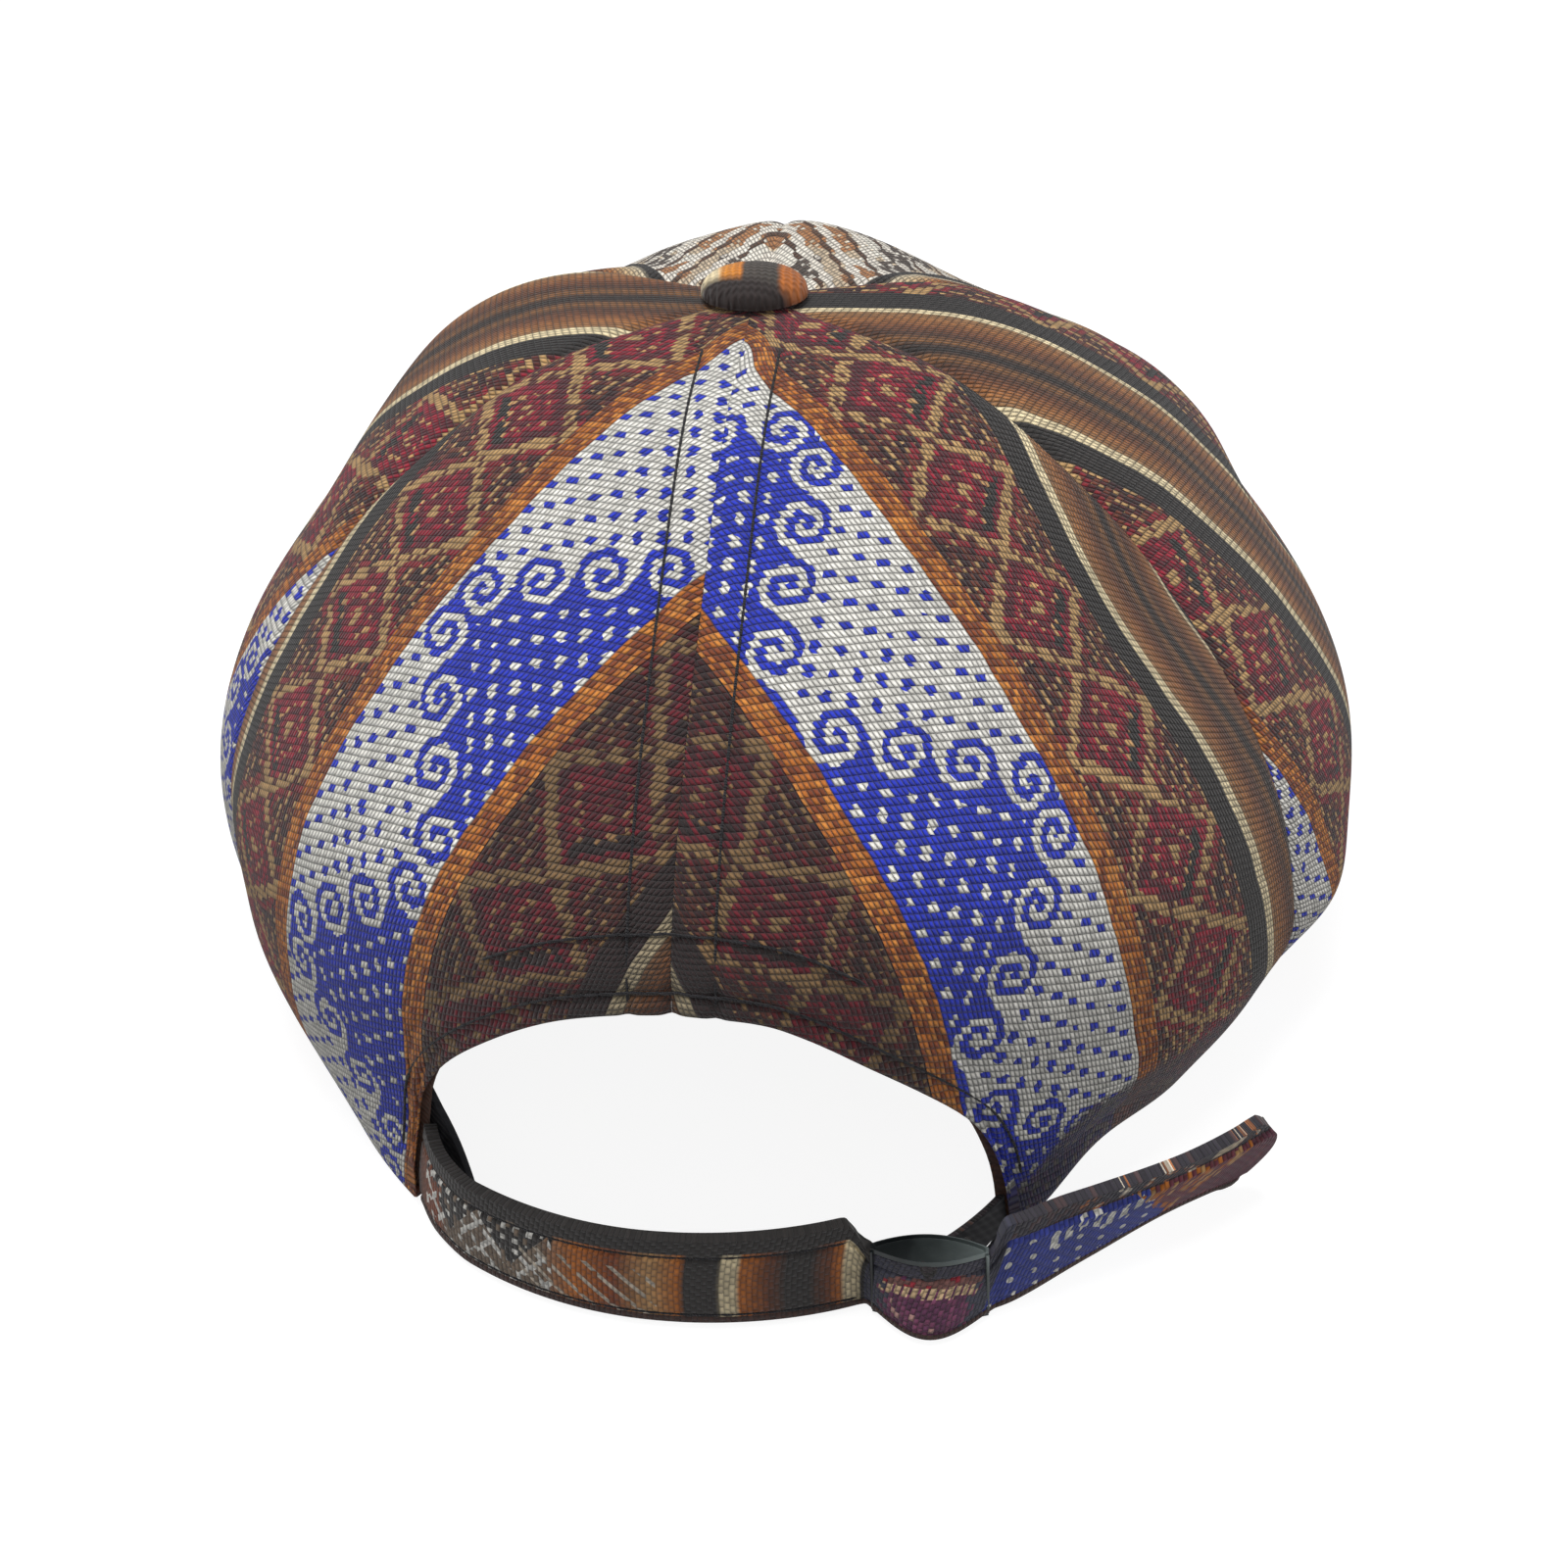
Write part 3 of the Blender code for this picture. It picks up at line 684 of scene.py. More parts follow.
def diamondBand(along, distance, start, dice, other):
    # squares standing on their corners in a beige lattice, with dotted rings; half squares at the edges
    cell = weave["diamondPitch"] * diagonal
    place = along - start
    level = distance - weave["diamondMiddle"]
    first = (place + level) * diagonal / cell
    second = (place - level) * diagonal / cell
    firstCell = (first + 0.5).floor()
    secondCell = (second + 0.5).floor()
    firstPart = (first - firstCell) * cell
    secondPart = (second - secondCell) * cell
    ring = firstPart.size().most(secondPart.size())
    whole = (firstCell - secondCell).size().under(0.5)
    colour = paint(screen(150, 22, 46), screen(108, 18, 36), dice.over(0.5))
    darkSide = (firstPart * -1.0).most(secondPart).over(4.9) * dice.over(0.3)
    colour = paint(colour, thread["maroon"], darkSide)
    bar = firstPart.over(3.6) * firstPart.under(5.9) * secondPart.size().under(5.8)
    colour = paint(colour, thread["black"], bar * dice.over(0.12))
    dots = ring.over(3.1) * ring.under(4.4) * (firstPart + secondPart + 0.6).wrap(2.6).under(1.15)
    colour = paint(colour, thread["maroon"], ring.over(2.6) * ring.under(3.1))
    colour = paint(colour, thread["tan"], dots * other.over(0.35))
    colour = paint(colour, thread["beige"], ring.under(1.3) * other.over(0.2))
    half = paint(screen(76, 26, 28), screen(108, 54, 38), dice.over(0.7))
    half = paint(half, screen(52, 26, 28), dice.under(0.38))
    speckle = (firstPart + secondPart).wrap(2.4).under(1.2) * (firstPart - secondPart).wrap(2.2).under(1.1)
    half = paint(half, thread["beige"], speckle * other.over(0.3) * ring.under(6.2))
    half = paint(half, screen(132, 30, 40), ring.over(5.4) * other.under(0.55))
    colour = paint(half, colour, whole)
    lattice = ring.over(cell / 2 - 1.15)
    colour = paint(colour, screen(88, 38, 32), lattice)
    return paint(colour, thread["beige"], lattice * other.over(0.22))


def frontFigures(tree, along, across, distance, dice, place):
    # cream and white with patches of orange and black, white slanted bars, then narrow shaded stripes
    patches = noiseAt(tree, place, 0.055, 2.0)
    smoky = noiseAt(tree, place, 0.09, 4.0)
    light = paint(screen(206, 186, 158), screen(238, 232, 218), smoky.over(0.5))
    colour = paint(light, screen(172, 120, 78), patches.over(0.55) * dice.over(0.12))
    colour = paint(colour, screen(88, 76, 68), patches.under(0.45) * dice.over(0.10))
    bar = (along + across * 0.9).wrap(7.4).under(2.4) * patches.over(0.40)
    colour = paint(colour, screen(236, 228, 214), bar)
    shade = (along + across * 0.9 + 1.6).wrap(7.4).under(1.2) * patches.over(0.44)
    colour = paint(colour, screen(92, 66, 50), shade)
    floats = (along + across).wrap(4.2).under(1.7) * (along - across).wrap(3.6).under(1.7) * patches.under(0.45)
    colour = paint(colour, screen(214, 206, 194), floats)
    stripes = colourRamp(((distance - 17.0) / 15.0).wrap(1.0), (
        (0.0, thread["black"]), (0.12, thread["black"]), (0.15, screen(226, 212, 182)),
        (0.30, screen(206, 178, 136)), (0.45, screen(170, 110, 60)), (0.62, thread["brown"]), (0.78, screen(150, 106, 68)),
        (0.92, screen(216, 196, 162)), (1.0, screen(206, 190, 160))))
    return paint(colour, stripes, distance.over(17.0))


def wovenCloth(name, cut):
    material, tree, surface = startMaterial(name, 0.86, sheen=0.12)
    place = clothPlace(tree)
    along, across, _ = splitWires(tree, place)
    wobble = noiseAt(tree, place, 0.09)
    along = along + (wobble - 0.5) * 1.4
    across = across + (wobble - 0.5) * -1.2
    # grains of thread in rows, their ends slanted
    length, width = weave["grainLength"], weave["grainWidth"]
    slant = weave["slant"]
    row = (across / width).floor()
    shifted = (along + across * slant) / length
    grain = shifted.floor()
    grainAlong = shifted - grain - 0.5
    grainAcross = across / width - row - 0.5
    dice = randomAt(grain, row)
    other = randomAt(grain, row, 3.0)
    keep = 1 - weave["snap"]
    snappedAcross = (row + 0.5) * (width * weave["snap"]) + across * keep
    snappedAlong = ((grain + 0.5) * length - (row + 0.5) * (width * slant)) * weave["snap"] + along * keep
    distance = snappedAcross.size().do("PINGPONG", weave["ombreMiddle"])
    # colours from the outside of the stripes inwards
    ombrePlace = (distance - weave["ropeEnd"]) / (weave["ombreMiddle"] - weave["ropeEnd"])
    colour = colourRamp(ombrePlace, (
        (0.0, screen(150, 112, 74)), (0.2, screen(160, 104, 56)), (0.42, screen(122, 74, 44)),
        (0.62, screen(84, 54, 40)), (0.8, screen(134, 90, 50)), (0.9, screen(70, 50, 40)),
        (1.0, thread["black"])))
    colour = paint(colour, thread["cream"], distance.under(weave["ropeEnd"]))
    colour = paint(colour, thread["black"], distance.under(weave["blackEnd"]))
    inner = snappedAcross.over(0.0)
    start = inner * (cut["innerDiamond"] - cut["outerDiamond"]) + cut["outerDiamond"]
    colour = paint(colour, diamondBand(snappedAlong, distance, start, dice, other),
                       distance.under(weave["diamondEnd"]))
    stripe = paint(screen(182, 104, 34), thread["rust"], dice.over(0.5))
    stripe = paint(stripe, screen(206, 130, 52), other.over(0.78))
    colour = paint(colour, stripe, distance.under(weave["bandHalf"] + weave["stripe"]))
    colour = paint(colour, scrollBand(snappedAlong, snappedAcross, cut),
                       distance.under(weave["bandHalf"]))
    if cut.get("point"):
        # painted shade: the middle of the back, inside the orange stripes, is tinted maroon and darkened where
        # it lies in shade
        paintedBackShade = snappedAcross.over(weave["bandHalf"] + weave["stripe"])
        colour = paint(colour, screen(70, 12, 20), paintedBackShade * 0.32)
        colour = shadeBy(colour, (paintedBackShade * 0.44).inverse())
    if cut.get("darkHem"):
        # painted shade: the cloth is darkened towards the rim, where the wall turns under, from the strap's tab
        # round to the side
        first, slope, top = cut["darkHem"]
        x, _, z = splitWires(tree, objectPlace(tree))
        level = ((x - 0.051).most(0.0) * slope + first).least(top)
        dark = ((level - z) * 450.0 + (dice - 0.5) * 0.8 + 0.5).most(0.0).least(1.0)
        hemShadeColour = paint(screen(52, 46, 56), screen(84, 58, 66), other.over(0.6))
        colour = paint(colour, hemShadeColour, dark * 0.88)
    if cut.get("figures"):
        colour = frontFigures(tree, snappedAlong, snappedAcross, snappedAcross.size(), dice, place)
    # light and dark threads, and shade between the grains
    lengthwise = (grainAlong * grainAlong * 4.0).inverse().most(0.0)
    crosswise = (grainAcross * grainAcross * 4.0).inverse().most(0.0)
    body = (lengthwise * crosswise).do("POWER", 0.5)
    tone = randomAt(grain, row, 7.0) * 0.42 + 0.76
    cloudy = noiseAt(tree, place, 0.05, 3.0) * 0.3 + 0.85
    colour = shadeBy(colour, tone * cloudy * (body * 0.72 + 0.36))
    fuzz = noiseAt(tree, place, 2.6, 2.0)
    rope = distance.over(weave["blackEnd"]) * distance.under(weave["ropeEnd"])
    finishLook(surface, colour, body + fuzz * 0.25 + rope * 0.8, weave["relief"])
    return material


def plainCloth(name, colour, scale=900.0, wearAndReflection=0.25):
    # a plain dark twill on object coordinates
    material, tree, surface = startMaterial(name, 0.9, sheen=0.1)
    place = objectPlace(tree)
    x, y, z = splitWires(tree, place)
    first = ((x + y + z * 1.6) * scale * 2.4).do("SINE")
    second = ((x - y + z * 0.7) * scale * 2.0).do("SINE")
    cloudy = noiseAt(tree, place, 60.0, 4.0)
    threads = first * second * 0.5 + 0.5
    dark = tuple(value * (1 - wearAndReflection) for value in colour[:3]) + (1.0,)
    light = tuple(min(value * (1 + wearAndReflection), 1.0) for value in colour[:3]) + (1.0,)
    mixed = paint(dark, light, threads * 0.6 + cloudy * 0.4)
    finishLook(surface, mixed, threads + cloudy, 0.0002)
    return material


liningCloth = plainCloth("reverse of the weave", screen(96, 66, 52), wearAndReflection=0.45)
blackCloth = plainCloth("black band cloth", screen(30, 29, 34))
stitchThread = plainCloth("dark sewing thread", screen(26, 24, 28), scale=3000.0)
print("cloth materials are made")

# building sheets of cloth


def gridSheet(name, columns, rows, place, materials, thickness, bevel=0.0):
    # a flat grid laid into shape: place turns two shares, across and up, into points
    flat = bmesh.new()
    bmesh.ops.create_grid(flat, x_segments=columns, y_segments=rows, size=1.0)
    shares = np.array([(vertex.co.x, vertex.co.y) for vertex in flat.verts]) * 0.5 + 0.5
    points, cloth = place(shares[:, 0], shares[:, 1])
    for vertex, point in zip(flat.verts, points):
        vertex.co = point
    piece = meshObject(name, flat, materials)
    if cloth is not None:
        layer = piece.data.uv_layers.new(name="cloth")
        loops = np.empty(len(piece.data.loops), int)
        piece.data.loops.foreach_get("vertex_index", loops)
        layer.data.foreach_set("uv", np.stack(cloth, axis=1)[loops].astype(np.float32).ravel())
    wall = piece.modifiers.new("wall", "SOLIDIFY")
    wall.thickness = thickness
    wall.offset = -1.0
    wall.material_offset = len(materials) - 1
    if bevel:
        bevelEdges(piece, bevel, 50)
    return piece


def archEdge(side, fromSeam):
    # angle and rise of a back panel's lower edge, along the arch and then the rim
    along = np.minimum(fromSeam / archShare, 1.0)
    angle = arch["angle"] * readTable(arch["edge"], 1 if side < 0 else 2, along)
    rise = riseAtHeight(arch["height"] * readTable(arch["edge"], 3, along))
    beyond = np.clip((fromSeam - archShare) / (1 - archShare), 0.0, 1.0)
    onRim = side * (arch["angle"] + (crown["sideSeam"] - arch["angle"]) * beyond)
    onArch = fromSeam < archShare
    return np.where(onArch, angle, onRim), np.where(onArch, rise, 0.0)


def makePanel(name, firstAngle, lastAngle, side):
    top = topRise()
    isBack = name.startswith("panel_back")

    def place(shareAcross, up):
        across = shareAcross - 0.6 * np.sin(2 * np.pi * shareAcross) / (2 * np.pi)
        high = firstAngle + (lastAngle - firstAngle) * across
        if isBack:
            lowAngle, lowRise = archEdge(side, across if side > 0 else 1 - across)
        else:
            lowAngle, lowRise = high, np.zeros_like(across)
        rise = lowRise + (top - lowRise) * up
        angle = lowAngle + (high - lowAngle) * ease(up * 1.3)
        gap = 0.00002
        inset = np.degrees(gap / 2 / np.maximum(crownRadius(angle, rise), 1e-4)) * (1 - 2 * across)
        points = crownPoint(angle + inset, rise)
        if isBack:
            # the edge is turned in and stitched down along the arch
            fromEdge = (rise - lowRise) * 0.135
            hem = 0.0005 * ridge(fromEdge, 0.0012, 0.0013) + 0.0003 * ridge(fromEdge, 0.007, 0.0028)
            hem -= 0.0003 * ridge(fromEdge, 0.0033, 0.0007)
            hem -= 0.0002 * ridge(fromEdge, 0.0113, 0.0008)
            fade = (np.abs(turnBetween(lowAngle, 0.0)) < arch["angle"]) * 1.0
            radians = np.radians(angle)
            outward = np.stack([np.sin(radians), -np.cos(radians), np.zeros_like(radians)], axis=1)
            points = points + outward * (hem * fade)[:, None]
        return points, clothPlaces(name, angle, rise)

    material = wovenCloth("woven cloth of " + name.replace("_", " "), cuts[name])
    piece = gridSheet(name + "_cloth", 110, 150, place, [material, liningCloth], crown["cloth"])
    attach(piece, "root")
    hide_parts(name)
    return piece


panelSeams = {
    "panel_back_left": (-crown["sideSeam"], 0.0, -1),
    "panel_back_right": (0.0, crown["sideSeam"], 1),
    "panel_side_left": (-crown["frontSeam"], -crown["sideSeam"], -1),
    "panel_side_right": (crown["sideSeam"], crown["frontSeam"], 1),
    "panel_front_left": (-180.0, -crown["frontSeam"], -1),
    "panel_front_right": (crown["frontSeam"], 180.0, 1),
}
panels = {name: makePanel(name, *seams) for name, seams in panelSeams.items()}
print("six panels of the crown are laid")

# rim, strap, tab and slide: where they run

strap = {
    "height": 0.017,
    "thickness": 0.002,
    "bottom": 0.0012,
    "tailLength": 0.0522,
    "tailLean": 0.0095,
    # along, heading, lean
    "tail": ((0.0, 20.0, 0.0), (0.12, 34.0, 0.2), (0.35, 36.0, 0.5), (0.65, 38.0, 0.74), (1.0, 41.0, 0.62)),
    "foldFrom": 0.76,
    # the curve across the arch is fuller on the left
    "bulge": 0.0036,
    # how much lower the strap is where it passes through the slide
    "drawnIn": 0.35,
    "foldDepth": 0.0011,
    # how high its two rows of stitches run
    "lowRow": 0.085,
    "highRow": 0.78,
}
archSteps, humpSteps, tailSteps = 90, 60, 80
slide = {
    "angle": 18.25,
    "out": 0.0059,
    "turn": 2.3,
    "width": 0.0198,
    "hump": 0.006,
    "flange": 0.0009,
    "bar": 0.0009,
}
tab = {"height": 0.015, "thickness": 0.0012, "return": 0.009, "atRim": 0.36, "atBar": 0.67, "bow": 0.0006}


def rimPoint(angle, inward, height):
    radians = math.radians(angle)
    radius = float(crownRadius(angle, 0.0)) - inward
    return np.array((radius * math.sin(radians), crown["centre"] - radius * math.cos(radians), height))


def slidePoint(share, outward):
    turn = math.radians(slide["turn"])
    along = np.array((math.cos(turn), math.sin(turn), 0.0))
    out = np.array((math.sin(turn), -math.cos(turn), 0.0))
    return rimPoint(slide["angle"], -slide["out"], 0.0) + along * slide["width"] * (share - 0.5) + out * outward


def humpOut(share, height):
    # shallow above, where it passes under the plate, and full below
    depth = slide["hump"] * (1.20 - 0.70 * float(ease(height / 0.0185)))
    return depth * math.sin(math.pi * min(max(share, 0.0), 1.0)) ** 1.1


def archCorner(side, height):
    shares = np.linspace(0, 1, 2001)
    along = np.interp(-height, -arch["height"] * readTable(arch["edge"], 3, shares), shares)
    angle = arch["angle"] * float(readTable(arch["edge"], 1 if side < 0 else 2, along))
    clearance = math.degrees(0.00075 / float(crownRadius(arch["angle"], 0.0)))
    corner = crownPoint(angle - side * clearance, riseAtHeight(height), detail=False)
    corner[2] = height
    return corner


def strapLine(height):
    # the strap's outer face at a height: points, how far it leans and its share along the tail
    slideStart = slidePoint(0.0, 0.0)
    lastAngle = math.degrees(math.atan2(slideStart[0], crown["centre"] - slideStart[1]))
    corner = archCorner(-1, height)
    firstAngle = math.degrees(math.atan2(corner[0], crown["centre"] - corner[1]))
    stepIn = slideStart[1] - rimPoint(lastAngle, 0.0, 0.0)[1]
    points, leans, shares = [], [], []
    for share in np.linspace(0, 1, archSteps + 1)[:-1]:
        angle = firstAngle + (lastAngle - firstAngle) * share
        onRim = rimPoint(angle, 0.0, height)
        point = onRim.copy()
        point[1] += stepIn * float(ease((share - 0.6) / 0.4))
        fuller = strap["bulge"] * float(ease(share / 0.13) * (1 - ease((share - 0.08) / 0.92)))
        point += rimPoint(angle, -fuller, height) - onRim
        part = float(ease(share / 0.2))
        points.append(corner * (1 - part) + point * part)
        leans.append(0.0)
        shares.append(0.0)
    for share in np.linspace(0, 1, humpSteps + 1):
        point = slidePoint(share, humpOut(share, height))
        point[2] = height
        points.append(point)
        leans.append(0.0)
        shares.append(0.0)
    for step in range(1, tailSteps + 1):
        share = step / tailSteps
        heading = math.radians(float(readTable(strap["tail"], 1, share - 0.5 / tailSteps)))
        ahead = np.array((math.cos(heading), math.sin(heading), 0.0))
        point = point + ahead * (strap["tailLength"] / tailSteps)
        points.append(point)
        leans.append(strap["tailLean"] * float(readTable(strap["tail"], 2, share)))
        shares.append(share)
    return np.array(points), np.array(leans), np.array(shares)


def strapFace(along, up):
    # points on the strap's face for shares along and up it, and their places along it in mm
    points = np.empty((len(along), 3))
    lengths = np.empty(len(along))
    for level in np.unique(up):
        chosen = up == level
        line, leans, shares = strapLine(strap["bottom"] + strap["height"] * level)
        reach = reachAlong(line)
        where = along[chosen] * reach[-1]
        forward = unitRows(np.gradient(line, axis=0))
        out = np.stack([forward[:, 1], -forward[:, 0], np.zeros(len(line))], axis=1)
        cutBack = 0.27 if level > 0.5 else 0.34
        rounding = (2 * level - 1) ** 2 * ease((shares - 0.80) / 0.20) * cutBack * strap["height"]
        fall = np.sqrt(np.maximum(1 - (leans / strap["height"]) ** 2, 0.1))
        face = line + out * (leans * (level - 0.5))[:, None] - forward * rounding[:, None]
        face[:, 2] = strap["bottom"] + strap["height"] * (0.5 + (level - 0.5) * fall)
        # drawn in on the hump, and a few millimetres to either side of it
        fromHump = np.maximum(reach[archSteps] - reach, reach - reach[archSteps + humpSteps])
        drawn = 1 - ease((fromHump + 0.0010) / 0.0034)
        face[:, 2] -= strap["drawnIn"] * strap["height"] * level * drawn
        # the tail's upper edge is a second layer, a little behind the first
        fold = strap["foldDepth"] * ease(shares / 0.25) * float(ease((level - strap["foldFrom"]) / 0.05))
        seam = 0.0004 * math.exp(-((level - strap["lowRow"]) / 0.02) ** 2)
        seam += 0.0005 * math.exp(-((level - strap["highRow"]) / 0.022) ** 2)
        face = face - out * (fold + seam)[:, None]
        points[chosen] = pointsAt(where, reach, face)
        lengths[chosen] = where * 1000
    return points, lengths


line, _, _ = strapLine(strap["bottom"] + strap["height"] / 2)
lineReach = reachAlong(line) * 1000
strapTotal = lineReach[-1]
humpStart, humpEnd = lineReach[archSteps], lineReach[archSteps + humpSteps]
print("strap", round(strapTotal, 1), "mm, hump", round(humpStart, 1), "to", round(humpEnd, 1))

# strap


def figured(along, across, ground, dice):
    # white lattice, dots and dark triangles over a ground
    step = 5.2
    first = (along + across).wrap(step)
    second = (along - across).wrap(step)
    lattice = first.under(1.5).most(second.under(1.5)) * dice.over(0.3)
    tooth = (along.do("PINGPONG", 7.0) * 1.25 - across + 4.5).over(0.0)
    colour = paint(ground, thread["white"], lattice * tooth)
    colour = paint(colour, thread["black"], tooth.inverse() * dice.over(0.18))
    spots = along.wrap(2.6).under(1.2) * across.wrap(2.4).under(1.1) * tooth.inverse()
    return paint(colour, thread["white"], spots * dice.over(0.35))


def clothGrains(tree, length, width, stagger):
    place = clothPlace(tree)
    along, across, _ = splitWires(tree, place)
    row = (along / width).floor()
    shifted = across / length + row * stagger
    grain = shifted.floor()
    lengthwise = ((shifted - grain - 0.5) * 2).do("POWER", 2.0).inverse()
    crosswise = ((along / width - row - 0.5) * 2).do("POWER", 2.0).inverse()
    body = (lengthwise * crosswise).most(0.0).do("POWER", 0.5)
    dice = randomAt(grain, row)
    tone = randomAt(grain, row, 7.0)
    return place, along, across, body, dice, tone


def strapCloth():
    material, tree, surface = startMaterial("woven cloth of the strap", 0.86, sheen=0.1)
    place, along, across, body, dice, tone = clothGrains(tree, 1.5, 0.85, 0.42)
    scale = humpStart / 88.0
    one = along / scale
    ground = colourRamp(one / 100.0, (
        (0.00, thread["black"]), (0.025, thread["brown"]), (0.10, thread["rust"]), (0.13, screen(120, 104, 88)),
        (0.34, screen(128, 110, 92)), (0.40, thread["orange"]), (0.47, thread["rust"]), (0.53, thread["tan"]),
        (0.575, thread["orange"]), (0.585, thread["black"]), (0.64, thread["black"]), (0.645, thread["cream"]),
        (0.67, thread["cream"]), (0.675, thread["orange"]), (0.72, thread["brown"]), (0.75, thread["black"]),
        (0.79, thread["black"]), (0.82, thread["brown"]), (0.842, thread["orange"]), (0.845, thread["cream"]),
        (0.87, thread["cream"]), (0.875, thread["black"]), (1.00, thread["black"])))
    figure = figured(one, across, ground, dice)
    colour = paint(ground, figure, one.over(5.0) * one.under(36.0))
    slanted = (one + across * 1.1).wrap(4.4).under(1.1) * across.under(10.5) * one.over(30.0) * one.under(54.0)
    colour = paint(colour, screen(206, 192, 172), slanted * dice.over(0.2))
    # the hump: a row of beige floats under crimson spots, maroon below
    onHump = along - humpStart
    middle = onHump - (humpEnd - humpStart) / 2
    arc = across - 10.6 + middle * middle * 0.020 + (dice - 0.5) * 1.0
    hump = paint(screen(92, 44, 76), screen(120, 60, 92), dice.over(0.55))
    hump = paint(hump, screen(178, 136, 128), dice.over(0.91) * middle.size().under(6.0))
    bead = onHump.wrap(1.35).under(0.95)
    hump = paint(hump, screen(214, 182, 140), arc.size().under(1.3) * bead * dice.over(0.1))
    hump = paint(hump, screen(118, 78, 72), (arc - 2.1).size().under(0.9) * dice.over(0.45))
    hump = paint(hump, screen(140, 34, 46), (arc - 1.7).size().under(0.8) * dice.under(0.4))
    # painted shadow: a grey band along the hump's top, under the slide's plate
    hump = paint(hump, screen(66, 64, 76), (arc - 3.0).over(0.0))
    # painted shade: grey towards the hump's ends, where the strap passes under the slide
    hump = paint(hump, screen(58, 58, 72), (middle.size() - 7.6 + (tone - 0.5) * 3.0).over(0.0))
    colour = paint(colour, hump, onHump.over(0.0))
    # the tail: blue with small white dots, white blobs, then orange and purple
    onTail = along - humpEnd
    lattice = (onTail + across * 0.5).wrap(4.2) - 2.1
    other = across.wrap(3.4) - 1.7
    tail = paint(screen(52, 64, 152), thread["white"], lattice.reach(other).under(0.62) * dice.over(0.2))
    blobs = ((onTail * 0.55).do("SINE") * 0.9 + 11.0 - across).size().under(1.7)
    blobs = blobs * (onTail + across * 0.4).wrap(2.5).under(1.35) * dice.over(0.15)
    tail = paint(tail, thread["white"], blobs * onTail.over(8.0) * onTail.under(33.0))
    end = paint(screen(110, 52, 62), thread["orange"], dice.over(0.62))
    end = paint(end, thread["tan"], dice.over(0.85))
    tail = paint(tail, end, (across + onTail * 1.0 - 37.0 + (dice - 0.5) * 3.0).over(0.0))
    tail = paint(tail, screen(92, 44, 60), (across * -0.9 + onTail - 33.5).over(0.0) * dice.over(0.12))
    spots = noiseAt(tree, place, 0.34, 2.0)
    top = paint(screen(48, 44, 52), screen(74, 56, 58), dice.over(0.7))
    orangeSpots = spots.over(0.56) * dice.over(0.35) * onTail.over(10.0)
    top = paint(top, screen(168, 104, 62), orangeSpots)
    top = paint(top, screen(226, 212, 190), spots.over(0.62) * onTail.over(8.0))
    paleSpot = (onTail - 38.5).size().under(2.6) * (across - 15.0).size().under(1.4)
    top = paint(top, screen(226, 208, 178), paleSpot)
    tail = paint(tail, top, across.over(strap["foldFrom"] * 17.0 + 0.5))
    colour = paint(colour, tail, onTail.over(0.0))
    # black along the top edge before the hump: partly the cloth's black stripe, partly painted shade on the
    # rounded fold
    colour = paint(colour, thread["black"], across.over(14.2) * onTail.under(0.0) * onHump.under(0.0))
    colour = paint(colour, screen(66, 44, 38), across.under(1.1))
    # random tone and cloudiness, and painted shade between the grains
    cloudy = noiseAt(tree, place, 0.12, 3.0) * 0.4 + 0.8
    colour = shadeBy(colour, (tone * 0.4 + 0.76) * cloudy * (body * 0.5 + 0.55))
    finishLook(surface, colour, body + noiseAt(tree, place, 3.0) * 0.3, 0.0003)
    return material


def makeStrap():
    def place(along, up):
        points, lengths = strapFace(along, up)
        return points, (lengths, up * strap["height"] * 1000)

    cloths = [strapCloth(), blackCloth]
    piece = gridSheet("strap_cloth", 420, 40, place, cloths, strap["thickness"], bevel=0.0006)
    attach(piece, "root")
    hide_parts("strap")


makeStrap()
print("the strap runs over the slide to its free end")

# tab


